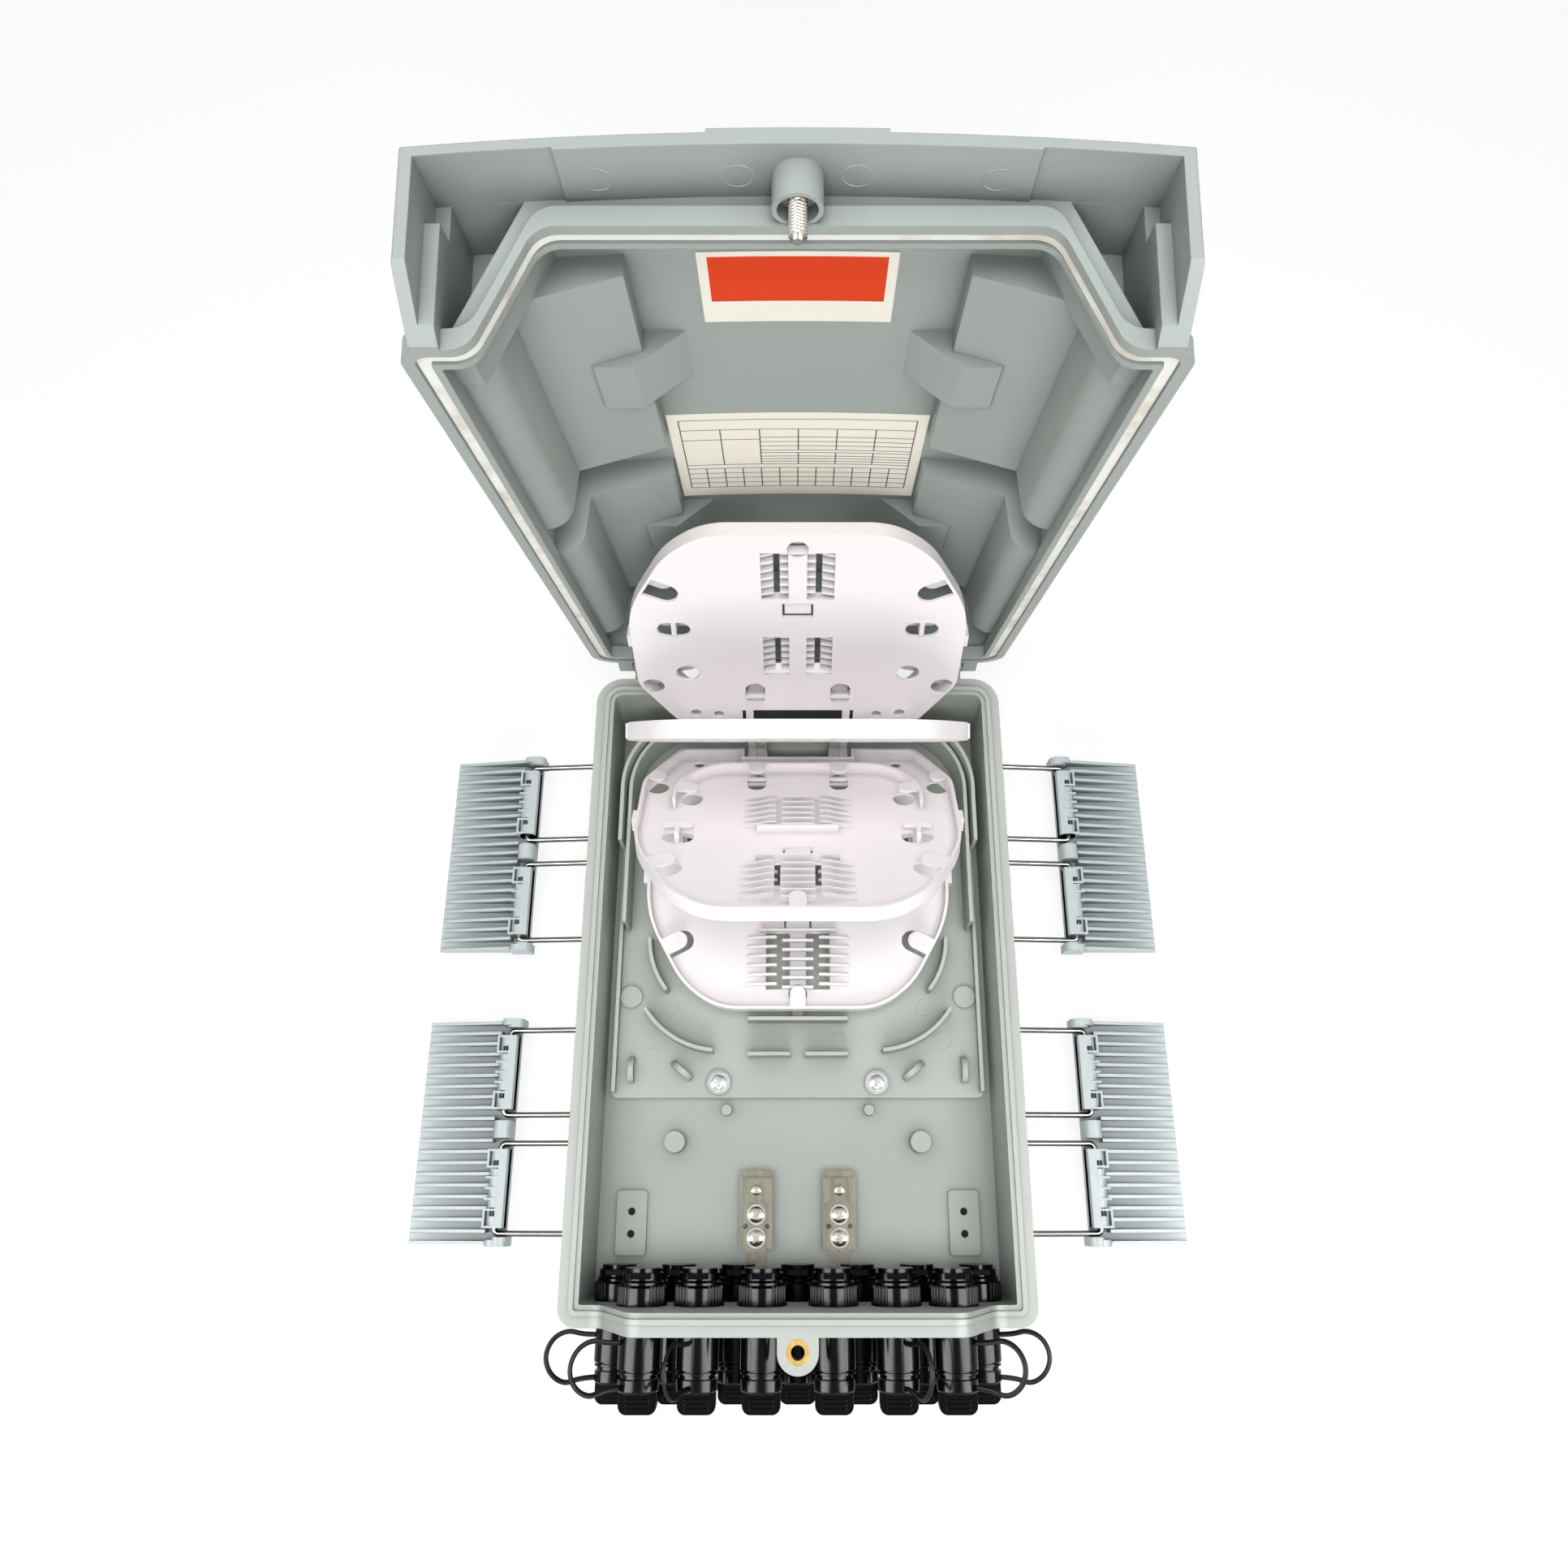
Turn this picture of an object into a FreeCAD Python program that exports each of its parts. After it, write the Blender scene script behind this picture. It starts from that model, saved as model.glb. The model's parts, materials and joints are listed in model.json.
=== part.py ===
import FreeCAD, Part
import math
import os
from types import SimpleNamespace

import Sketcher

# Wall-mounted fibre splice box, lying on its back with the lid swung open.
# Millimetres. X runs across the box, Y along it towards the lid hinge, Z up from the back face.
# The origin is the centre of the back face.

os.makedirs("parts", exist_ok=True)
doc = FreeCAD.newDocument("FibreSpliceBox")
sheet = doc.addObject("Spreadsheet::Sheet", "Sizes")

DRIVING_SIZES = {
    # Base shell
    "box_width": 230,
    "box_length": 338,
    "rim_height": 50,
    "wall": 3,
    "floor_thick": 3,
    "flange_reach": 7,
    "flange_thick": 5,
    "near_corner": 9,
    "far_corner": 15,
    # Raised adapter end
    "rise": 39,
    "rise_top_in": 39,
    "rise_foot_in": 21,
    "rise_round": 9,
    # Seal between base and lid
    "tongue_inset": 5,
    "tongue_width": 2.5,
    "tongue_height": 1.2,
    "groove_width": 4.4,
    "gasket_thick": 3.7,
    "gasket_fit": 0.1,
    "seal_gap": 0.3,
    "close_gap": 0.3,
    # Lid shell
    "lid_height": 50,
    "lid_crown": 5,
    "lid_wall": 4,
    "lid_panel": 3,
    "lid_flange_thick": 7,
    "lid_lip": 2.5,
    "hood_reach": 19,
    "hood_sweep": 13,
    "hood_rib_reach": 8.5,
    "hood_rib_depth": 6,
    "hood_rib_height": 36,
    "hood_pad_half": 67.8,
    "hood_pad": 0.8,
    "plate_half": 25.5,
    "plate_thick": 1.2,
    "plate_length": 60,
    "hinge_back": 9,
    "hinge_up": 3,
    "lid_open": 80,
    # Hinge
    "knuckle_inset": 35,
    "knuckle_width": 14,
    "knuckle_round": 5,
    "lid_arm_width": 8,
    "knuckle_drop": 18,
    "lid_arm_rise": 14,
    "pin_radius": 2,
    "running_fit": 0.08,
    "side_gap": 0.4,
    # Latches
    "latch_near_gap": 91,
    "latch_far_gap": 98.5,
    "latch_span": 110,
    "bail_pivot_inset": 4.5,
    "bail_pivot_drop": 8,
    "bail_reach": 43,
    "bail_crank": 6.5,
    "bail_droop": 5.5,
    "bail_leg_inset": 5,
    "bail_leg_inner": 7,
    "wire_radius": 1.5,
    "stub_length": 8,
    "lever_width": 49,
    "lever_behind": 4.5,
    "lever_plate": 2.5,
    "lever_drop": 9,
    "fin_rise": 1,
    "fin_thick": 1.6,
    "fin_count": 21,
    "tube_radius": 4.5,
    "leg_clearance": 1.2,
    "window_half": 2.5,
    "window_length": 4,
    "knob_reach": 2.5,
    "knob_length": 3.5,
    "lug_depth": 4,
    "lug_reach": 3,
    "fin_tip": 0.3,
    "recess_margin": 4,
    "recess_skin": 2,
    "trough_reach": 19.5,
    "trough_round": 9,
    "ramp_start": 22,
    "ramp_low": 34.6,
    "ramp_reach": 58,
    "ramp_high": 45,
    "notch_start": 44.5,
    "notch_turn": 55,
    "notch_floor": 39.2,
    "notch_reach": 77,
    "notch_top": 56.4,
    "notch_width": 26,
    # Lock
    "tab_radius": 9.3,
    "tab_thick": 6,
    "lock_y": 6,
    "insert_radius": 5.25,
    "insert_bore": 3.1,
    "lock_shank": 2.8,
    "lock_boss": 7.5,
    "lock_boss_drop": 10,
    "lock_tip_drop": 20,
    "lock_head": 5.5,
    "lock_head_thick": 4,
    "lock_head_sink": 3,
    "lock_slot": 1.6,
    "lock_fit": 0.3,
    "insert_stand": 0.2,
    # Splice trays
    "tray_side_gap": 16.5,
    "tray_near_gap": 44.2,
    "tray_hinge_gap": 18.8,
    "tray_first_lift": 16.8,
    "tray_pitch": 10.45,
    "tray_drop": 3.5,
    "tray_rim": 8.5,
    "tray_skin": 1.6,
    "tray_tab": 1.4,
    "tray_notch": 30,
    "tray_notch_depth": 22,
    "tray_wall_half": 0.8,
    "comb_rise": 3.8,
    "comb_low": 0.6,
    "comb_half": 0.7,
    "comb_stop_rise": 4.4,
    "tray_clip": 2,
    "tray_clip_half": 4,
    "tray_2_angle": 36.4,
    "tray_3_angle": 69.5,
    "tray_4_angle": 105.2,
    "tray_pin": 1.3,
    "tray_pin_reach": 3,
    "tray_pin_gap": 0.2,
    "tray_eye": 2.6,
    "tray_arm": 4,
    "tray_arm_drop": 0.5,
    "post_outer": 23.7,
    "post_width": 6,
    "post_depth": 9,
    "post_cap": 4.5,
    "tower_bridge": 3,
    "tower_bridge_drop": 8,
    "tower_foot": 2,
    "tower_foot_near": 3,
    "tower_foot_far": 5,
    # Carrier plate
    "carrier_side_gap": 5,
    "carrier_near_gap": 98,
    "carrier_far_gap": 7,
    "carrier_lift": 7,
    "carrier_thick": 2.5,
    "carrier_rim": 5,
    "carrier_boss": 5,
    "arch_side": 4,
    "arch_length": 119,
    "arch_height": 24,
    "arch_round": 45,
    "arch_inset": 3,
    "guide_height": 12,
    "guide_thick": 2,
    "outer_guide_in": 57.6,
    "outer_guide_ahead": 71.9,
    "outer_guide_radius": 49,
    "outer_guide_start": 212,
    "outer_guide_sweep": 54,
    "inner_guide_in": 64,
    "inner_guide_ahead": 85,
    "inner_guide_radius": 47,
    "inner_guide_start": 180,
    "inner_guide_sweep": 39,
    "bar_half": 27,
    "bar_ahead": 39.6,
    "bar_split": 4,
    "bar_step": 18.6,
    "stem_half": 3,
    "stem_length": 12,
    "stem_height": 4,
    "tie_radius": 7,
    "tie_width": 3,
    "edge_tie_in": 10,
    "edge_tie_ahead": 14.6,
    "slant_tie_in": 37.2,
    "slant_tie_ahead": 14,
    "slant_tie_turn": 50,
    "side_boss_in": 8,
    "side_boss_ahead": 53.7,
    "side_boss_radius": 6,
    "seat_radius": 6.5,
    "seat_height": 1.5,
    "carrier_screw_in": 57.4,
    "carrier_screw_ahead": 8,
    # Pan-head screws
    "screw_head": 4,
    "screw_head_height": 2.6,
    "screw_washer": 5,
    "screw_washer_thick": 0.8,
    "screw_shank": 2,
    "screw_bore": 2.2,
    "screw_depth": 5,
    # Cable clamps
    "clamp_x": 21.5,
    "clamp_gap": 21.8,
    "clamp_length": 39.2,
    "clamp_width": 17,
    "clamp_narrow": 11,
    "clamp_lift": 11,
    "clamp_sheet": 1.5,
    "clamp_foot": 5,
    "clamp_post": 4,
    "clamp_screw_in": 17.8,
    "clamp_screw_step": 11.2,
    "clamp_hole": 1.3,
    "clamp_hole_x": 5.6,
    "bridge_in": 29.7,
    "bridge_length": 12,
    "bridge_rise": 5,
    "bridge_head": 2.6,
    "bridge_head_height": 1.8,
    "bridge_shank": 1.5,
    "bridge_bore": 1.6,
    # Mounting pads
    "pad_in": 17.5,
    "pad_gap": 35.5,
    "pad_length": 32,
    "pad_width": 16,
    "pad_thick": 2,
    "pad_hole": 1.9,
    "pad_hole_pitch": 11,
    "pad_round": 2,
    "boss_in": 39.4,
    "boss_gap": 75.6,
    "boss_radius": 5.5,
    "boss_height": 9,
    "peg_in": 66.6,
    "peg_gap": 92,
    "peg_radius": 2.75,
    "peg_height": 7,
    # Adapters
    "lower_row_z": 22,
    "upper_row_z": 51,
    "adapter_edge": 2.9,
    "upper_row_edge": 1.5,
    "thread_radius": 8.5,
    "thread_hole": 8.9,
    "thread_stand": 2,
    "collar_radius": 12,
    "collar_thick": 3,
    "seal_thick": 1.5,
    "seal_inset": 0.5,
    "seal_fit": 0.1,
    "barrel_radius": 10.3,
    "barrel_length": 19.5,
    "neck_radius": 8.8,
    "neck_length": 3.7,
    "neck_ring": 10,
    "neck_ring_gap": 0.9,
    "neck_ring_thick": 1,
    "nut_radius": 12.1,
    "nut_length": 14.5,
    "nut_grip": 9,
    "nut_shoulder": 10.6,
    "nut_shoulder_length": 2.2,
    "nut_neck": 9.8,
    "knurl_radius": 0.7,
    "knurl_step": 9,
    "nut_tab_half": 5,
    "nut_tab_top": 12.4,
    "nut_tab_length": 2.5,
    "cap_radius": 9.8,
    "cap_skirt": 6,
    "cap_length": 15,
    "grip_half": 9,
    "grip_thick": 4.5,
    "grip_round": 4,
    "ridge_half": 5.5,
    "ridge_rise": 0.4,
    "ridge_thick": 0.8,
    "ridge_step": 1.9,
    "ridge_start": 1.8,
    "cap_gap": 0.3,
    "cap_chamfer": 1.2,
    # Tethers
    "tether_width": 2.5,
    "tether_thick": 1.6,
    # Labels
    "label_thick": 0.3,
    "label_gap": 0.2,
    "upper_label_gap": 30,
    "upper_label_length": 40,
    "upper_label_half": 32.5,
    "log_label_gap": 138,
    "log_label_length": 81,
    "log_label_half": 54,
}

for row, (alias, number) in enumerate(DRIVING_SIZES.items(), start=1):
    sheet.set("A%d" % row, alias)
    sheet.set("B%d" % row, str(number))
    sheet.setAlias("B%d" % row, alias)
doc.recompute()


class Dim:
    """A size: its number, and the sheet expression that it comes from."""

    def __init__(self, number, text):
        self.number = float(number)
        self.text = text

    def __add__(self, other):
        other = dim(other)
        return Dim(self.number + other.number, "(%s + %s)" % (self.text, other.text))

    def __sub__(self, other):
        other = dim(other)
        return Dim(self.number - other.number, "(%s - %s)" % (self.text, other.text))

    def __mul__(self, other):
        other = dim(other)
        return Dim(self.number * other.number, "(%s * %s)" % (self.text, other.text))

    def __truediv__(self, other):
        other = dim(other)
        return Dim(self.number / other.number, "(%s / %s)" % (self.text, other.text))

    def __radd__(self, other):
        return dim(other) + self

    def __rsub__(self, other):
        return dim(other) - self

    def __rmul__(self, other):
        return dim(other) * self

    def __neg__(self):
        return Dim(-self.number, "(0 - %s)" % self.text)


def dim(value):
    return value if isinstance(value, Dim) else Dim(value, "%.6f" % value)


def sine(angle):
    return Dim(math.sin(math.radians(angle.number)), "sin(%s)" % angle.text)


def cosine(angle):
    return Dim(math.cos(math.radians(angle.number)), "cos(%s)" % angle.text)


def at_least(value, least):
    return Dim(max(value.number, least), "max(%s; %.3f)" % (value.text, least))


size = SimpleNamespace(**{alias: Dim(sheet.get(alias), "Sizes." + alias) for alias in DRIVING_SIZES})
ACROSS = FreeCAD.Vector(1, 0, 0)
ALONG = FreeCAD.Vector(0, 1, 0)
UP = FreeCAD.Vector(0, 0, 1)
FULL_TURN = 360
nodes = {}


def bind(item, prop, value):
    item.setExpression(prop, dim(value).text)


def place(item, x=0, y=0, z=0, axis=UP, angle=0):
    spot = "; ".join(dim(value).text for value in (x, y, z))
    pole = "; ".join("%d" % part for part in axis)
    item.setExpression(
        "Placement",
        "placement(vector(%s); rotation(vector(%s); %s))" % (spot, pole, dim(angle).text),
    )
    return item


def block(x0, x1, y0, y1, z0, z1):
    item = doc.addObject("Part::Box", "Block")
    bind(item, "Length", dim(x1) - x0)
    bind(item, "Width", dim(y1) - y0)
    bind(item, "Height", dim(z1) - z0)
    return place(item, x0, y0, z0)


def rod(axis, radius, start, end, a, b, sweep=FULL_TURN):
    """A cylinder along one axis; a and b are its centre on the other two, in X, Y, Z order."""
    item = doc.addObject("Part::Cylinder", "Rod")
    bind(item, "Radius", radius)
    bind(item, "Height", dim(end) - start)
    bind(item, "Angle", sweep)
    if axis == ACROSS:
        return place(item, start, a, b, ALONG, 90)
    if axis == ALONG:
        return place(item, a, start, b, ACROSS, -90)
    return place(item, a, b, start)


def fuse(*shapes):
    item = doc.addObject("Part::MultiFuse", "Fusion")
    item.Shapes = list(shapes)
    item.Refine = True
    return item


def cut(base, *tools):
    item = doc.addObject("Part::Cut", "Cut")
    item.Base = base
    item.Tool = tools[0] if len(tools) == 1 else fuse(*tools)
    item.Refine = True
    return item


def common(*shapes):
    item = doc.addObject("Part::MultiCommon", "Common")
    item.Shapes = list(shapes)
    item.Refine = True
    return item


def group(*shapes):
    item = doc.addObject("Part::Compound", "Group")
    item.Links = list(shapes)
    return item


def copy_at(source, *where):
    return place(group(source), *where)


def mirrored(source):
    item = doc.addObject("Part::Mirroring", "Mirrored")
    item.Source = source
    item.Normal = ACROSS
    return item


def pair(source):
    return source, mirrored(source)


def node(label, item):
    item.Label = label
    nodes[label] = item
    return item


def corner_arc(before, corner, after, radius):
    """Start, end, centre and turning sense of the tangent arc that rounds one corner."""
    towards = (before - corner).normalize()
    away = (after - corner).normalize()
    half = towards.getAngle(away) / 2
    first = corner + towards * (radius / math.tan(half))
    last = corner + away * (radius / math.tan(half))
    centre = corner + (towards + away).normalize() * (radius / math.sin(half))
    left_turn = (corner - before).cross(after - corner).z > 0
    return first, last, centre, left_turn


def outline(corners):
    """A closed sketch whose corner points (x, y, radius) are bound to the sheet."""
    sketch = doc.addObject("Sketcher::SketchObject", "Outline")
    corners = [tuple(dim(value) for value in corner) for corner in corners]
    spots = [FreeCAD.Vector(x.number, y.number, 0) for x, y, _ in corners]
    count = len(corners)
    arcs = []
    for index, (_, _, radius) in enumerate(corners):
        before, after = spots[index - 1], spots[(index + 1) % count]
        arcs.append(corner_arc(before, spots[index], after, radius.number) if radius.number else None)
    rules = []
    bound = []

    def rule(value, *words):
        if value is not None:
            bound.append((len(rules), value))
            words = words + (value.number,)
        rules.append(Sketcher.Constraint(*words))

    for index, (x, y, _) in enumerate(corners):
        sketch.addGeometry(Part.Point(spots[index]), True)
        rule(x, "DistanceX", -1, 1, index, 1)
        rule(y, "DistanceY", -1, 1, index, 1)
    for index in range(count):
        after = (index + 1) % count
        start = arcs[index][1] if arcs[index] else spots[index]
        end = arcs[after][0] if arcs[after] else spots[after]
        sketch.addGeometry(Part.LineSegment(start, end), False)
        line = count + index
        for spot, tip in ((index, 1), (after, 2)):
            if arcs[spot]:
                rule(None, "PointOnObject", spot, 1, line)
            else:
                rule(None, "Coincident", spot, 1, line, tip)
    for index, arc in enumerate(arcs):
        if not arc:
            continue
        first, last, centre, left_turn = arc
        start, end = (first, last) if left_turn else (last, first)
        angles = [math.atan2(spot.y - centre.y, spot.x - centre.x) for spot in (start, end)]
        circle = Part.Circle(centre, UP, corners[index][2].number)
        curve = sketch.addGeometry(Part.ArcOfCircle(circle, *angles), False)
        line_in = count + (index - 1) % count
        line_out = count + index
        rule(None, "Tangent", line_in, 2, curve, 1 if left_turn else 2)
        rule(None, "Tangent", line_out, 1, curve, 2 if left_turn else 1)
        rule(corners[index][2], "Radius", curve)
    sketch.addConstraint(rules)
    for index, value in bound:
        if value.text[0] not in "0123456789":
            sketch.setExpression("Constraints[%d]" % index, value.text)
    return sketch


def prism(corners, axis, start, end):
    """A closed outline pushed along one axis: XY outlines along Z, XZ along Y, YZ along X."""
    sketch = outline(corners)
    if axis == UP:
        place(sketch, 0, 0, start)
    elif axis == ALONG:
        place(sketch, 0, start, 0, ACROSS, 90)
    else:
        sketch.setExpression(
            "Placement",
            "placement(vector(%s; 0; 0); rotation(vector(1; 1; 1); 120))" % dim(start).text,
        )
    item = doc.addObject("Part::Extrusion", "Prism")
    item.Base = sketch
    item.DirMode = "Custom"
    item.Dir = axis
    item.Solid = True
    bind(item, "LengthFwd", dim(end) - start)
    return item


def turned(corners):
    """A profile of (radius, y) corners turned about the Y axis."""
    item = doc.addObject("Part::Revolution", "Turned")
    item.Source = outline([corner + (0,) if len(corner) == 2 else corner for corner in corners])
    item.Axis = ALONG
    item.Solid = True
    return item


def rectangle(x0, x1, y0, y1, near=0, far=0):
    return [(x0, y0, near), (x1, y0, near), (x1, y1, far), (x0, y1, far)]


# Places that several pieces share
half_width = size.box_width / 2
near_y = -size.box_length / 2
far_y = size.box_length / 2
rim_z = size.rim_height
wall_x = half_width - size.flange_reach
wall_near_y = near_y + size.flange_reach
wall_far_y = far_y - size.flange_reach
inner_near_y = wall_near_y + size.wall
inner_far_y = wall_far_y - size.wall
inner_x = wall_x - size.wall
rise_top = half_width - size.rise_top_in
rise_foot = half_width - size.rise_foot_in
latch_near_y = near_y + size.latch_near_gap
latch_far_y = far_y - size.latch_far_gap
bail_leg_outer = size.latch_span / 2 - size.bail_leg_inset
carrier_half = inner_x - size.carrier_side_gap
carrier_near_y = inner_near_y + size.carrier_near_gap
carrier_far_y = inner_far_y - size.carrier_far_gap
carrier_top = size.floor_thick + size.carrier_lift + size.carrier_thick
carrier_screw_x = carrier_half - size.carrier_screw_in
carrier_screw_y = carrier_near_y + size.carrier_screw_ahead
clamp_near_y = inner_near_y + size.clamp_gap
clamp_screw_y = clamp_near_y + size.clamp_screw_in
tray_half = carrier_half - size.tray_side_gap
tray_hinge_y = carrier_far_y - size.tray_hinge_gap
tray_hinge_z = carrier_top + size.tray_first_lift
tray_length = tray_hinge_y - carrier_near_y - size.tray_near_gap
hinge_y = far_y + size.hinge_back
hinge_z = rim_z + size.hinge_up
knuckle_inner = half_width - size.knuckle_inset
BEYOND = 40
CURVE_DEPTH = 25


def rim_ring(outer_inset, inner_inset, z0, z1):
    """A ring that follows the flange's outline, between two insets from the flange's edge."""
    shapes = []
    for inset in (outer_inset, inner_inset):
        inset = dim(inset)
        corners = rectangle(
            inset - half_width,
            half_width - inset,
            near_y + inset,
            far_y - inset,
            at_least(size.near_corner - inset, 1),
            at_least(size.far_corner - inset, 1),
        )
        shapes.append(prism(corners, UP, z0, z1))
    return cut(*shapes)


def under_rim(lift):
    """The space below the rim's stepped curve at the adapter end."""
    side = half_width + BEYOND
    low = rim_z + lift
    top = low + size.rise
    corners = [
        (-side, -BEYOND, 0),
        (side, -BEYOND, 0),
        (side, low, 0),
        (rise_foot, low, size.rise_round),
        (rise_top, top, size.rise_round),
        (-rise_top, top, size.rise_round),
        (-rise_foot, low, size.rise_round),
        (-side, low, 0),
    ]
    return prism(corners, ALONG, near_y - BEYOND, near_y + CURVE_DEPTH)


def below_rim(lift):
    side = half_width + BEYOND
    flat = block(-side, side, near_y + CURVE_DEPTH, far_y + BEYOND, -BEYOND, rim_z + lift)
    return fuse(flat, under_rim(dim(lift)))


def rim_layer(low, high, outer_inset, inner_inset):
    """A band that lies on the rim's surface, from one height above it to another."""
    tall = rim_ring(outer_inset, inner_inset, rim_z - BEYOND, rim_z + size.rise + BEYOND)
    return cut(common(tall, below_rim(high)), below_rim(low))


LOWER_ROW = 7
UPPER_ROW_SHARES = (1, 0.632, 0.228)


def adapter_spots():
    lower_end = inner_x - size.nut_radius - size.adapter_edge
    steps = (LOWER_ROW - 1) // 2
    lower = [(lower_end * (step / steps), size.lower_row_z) for step in range(-steps, steps + 1)]
    upper_end = rise_top - size.upper_row_edge
    left = [(-(upper_end * share), size.upper_row_z) for share in UPPER_ROW_SHARES]
    right = [(-x, z) for x, z in reversed(left)]
    return lower, left + right


# Base shell
def base_shell():
    wall_inset = size.flange_reach
    inner_inset = wall_inset + size.wall
    height = rim_z + size.rise + BEYOND
    walls = common(rim_ring(wall_inset, inner_inset, 0, height), below_rim(0))
    floor = prism(
        rectangle(-wall_x, wall_x, wall_near_y, wall_far_y, 2, size.far_corner - wall_inset),
        UP,
        0,
        size.floor_thick,
    )
    flange = rim_layer(-size.flange_thick, 0, 0, inner_inset)
    tongue = rim_layer(-1, size.tongue_height, size.tongue_inset, size.tongue_inset + size.tongue_width)
    solids = [walls, floor, flange, tongue]
    holes = []

    tab_top = rim_z + size.rise
    tab_y = near_y - size.lock_y
    tab_low = tab_top - size.tab_thick
    solids.append(block(-size.tab_radius, size.tab_radius, tab_y, wall_near_y, tab_low, tab_top))
    solids.append(rod(UP, size.tab_radius, tab_low, tab_top, 0, tab_y))
    holes.append(rod(UP, size.insert_radius, tab_low - 1, tab_top + 1, 0, tab_y))

    for x, y, radius, tall in (
        (inner_x - size.boss_in, inner_near_y + size.boss_gap, size.boss_radius, size.boss_height),
        (inner_x - size.peg_in, inner_near_y + size.peg_gap, size.peg_radius, size.peg_height),
        (carrier_screw_x, carrier_screw_y, size.carrier_boss, size.carrier_lift),
        (size.clamp_x, clamp_screw_y, size.clamp_post, size.clamp_lift),
        (size.clamp_x, clamp_screw_y - size.clamp_screw_step, size.clamp_post, size.clamp_lift),
    ):
        top = size.floor_thick + tall
        solids += pair(rod(UP, radius, size.floor_thick - 1, top, x, y))
        if radius in (size.carrier_boss, size.clamp_post):
            holes += pair(rod(UP, size.screw_bore, top - size.screw_depth, top + 1, x, y))
    pad_top = size.floor_thick + size.pad_thick
    pad_x = inner_x - size.pad_in
    pad_y = inner_near_y + size.pad_gap
    pad = rectangle(
        pad_x - size.pad_width / 2,
        pad_x + size.pad_width / 2,
        pad_y - size.pad_length / 2,
        pad_y + size.pad_length / 2,
        size.pad_round,
        size.pad_round,
    )
    solids += pair(prism(pad, UP, size.floor_thick - 1, pad_top))
    for step in (-0.5, 0.5):
        spot = pad_y + size.pad_hole_pitch * step
        holes += pair(rod(UP, size.pad_hole, -1, pad_top + 1, pad_x, spot))
    for row in adapter_spots():
        for x, z in row:
            holes.append(rod(ALONG, size.thread_hole, wall_near_y - 1, inner_near_y + 1, x, z))

    lug_top = rim_z - size.flange_thick
    lug_low = rim_z - size.bail_pivot_drop - size.lug_depth
    pivot_x = half_width - size.bail_pivot_inset
    gap = size.wire_radius + size.side_gap
    for centre in (latch_near_y, latch_far_y):
        for side in (-1, 1):
            ends = sorted((side * size.bail_leg_inner, side * bail_leg_outer), key=lambda d: d.number)
            low = centre + ends[0] + gap
            high = centre + ends[1] - gap
            solids += pair(block(wall_x - 1, pivot_x + size.lug_reach, low, high, lug_low, lug_top + 1))
            bore = size.wire_radius + size.running_fit
            for start, end in ((low - 1, low + size.stub_length), (high - size.stub_length, high + 1)):
                holes += pair(rod(ALONG, bore, start, end, pivot_x, rim_z - size.bail_pivot_drop))

    eye = size.knuckle_round
    arm = [
        (wall_far_y - 1, rim_z - size.knuckle_drop, 0),
        (hinge_y, hinge_z - eye, size.hinge_up),
        (hinge_y + eye, hinge_z, 0),
        (hinge_y, hinge_z + eye, 0),
        (hinge_y - eye, hinge_z, 0),
        (hinge_y - eye, rim_z - 1, 0),
        (wall_far_y - 1, rim_z - 1, 0),
    ]
    knuckle = prism(arm, ACROSS, knuckle_inner, knuckle_inner + size.knuckle_width)
    eye_rod = rod(ACROSS, eye, knuckle_inner, knuckle_inner + size.knuckle_width, hinge_y, hinge_z)
    solids += pair(fuse(knuckle, eye_rod))
    bore = size.pin_radius + size.running_fit
    ends = (knuckle_inner - 1, knuckle_inner + size.knuckle_width + 1)
    holes += pair(rod(ACROSS, bore, ends[0], ends[1], hinge_y, hinge_z))
    node("base_shell", cut(fuse(*solids), *holes))


# Lid, modelled shut and then swung open about its hinge
def swing_open(item):
    angle = size.lid_open
    y = hinge_y - hinge_y * cosine(angle) - hinge_z * sine(angle)
    z = hinge_z + hinge_y * sine(angle) - hinge_z * cosine(angle)
    return place(item, 0, y, z, ACROSS, -angle)


lid_half = half_width - size.tongue_inset
lid_far_y = far_y - size.tongue_inset
lid_near_y = near_y - size.hood_reach
lid_top = rim_z + size.lid_height
crown_radius = (lid_half * lid_half + size.lid_crown * size.lid_crown) / (2 * size.lid_crown)
crown_z = lid_top + size.lid_crown - crown_radius
groove_inset = size.tongue_inset - (size.groove_width - size.tongue_width) / 2
groove_top = size.tongue_height + size.seal_gap + size.gasket_thick


def recess_outline(skin):
    """Section of a latch recess: a rounded side trough, then a ramp under the lever."""
    side = half_width + BEYOND
    low = rim_z - skin
    top = lid_top + size.lid_crown + BEYOND
    trough_floor = low + size.lid_flange_thick + size.recess_skin
    ramp_end = half_width - size.ramp_reach - skin
    return [
        (ramp_end, top, 0),
        (ramp_end, low + size.ramp_high, 0),
        (half_width - size.ramp_start - skin, low + size.ramp_low, 0),
        (half_width - size.trough_reach - skin, trough_floor, size.trough_round + skin),
        (side, trough_floor, 0),
        (side, top, 0),
    ]


def notch_outline(skin):
    """Section of the finger notch at the inner end of a latch recess."""
    low = rim_z - skin
    top = lid_top + size.lid_crown + BEYOND
    outer = half_width - size.notch_start + skin
    inner = half_width - size.notch_reach - skin
    return [
        (outer, top, 0),
        (outer, low + size.notch_floor, 0),
        (half_width - size.notch_turn - skin, low + size.notch_floor, 0),
        (inner, low + size.notch_top, 0),
        (inner, top, 0),
    ]


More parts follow.
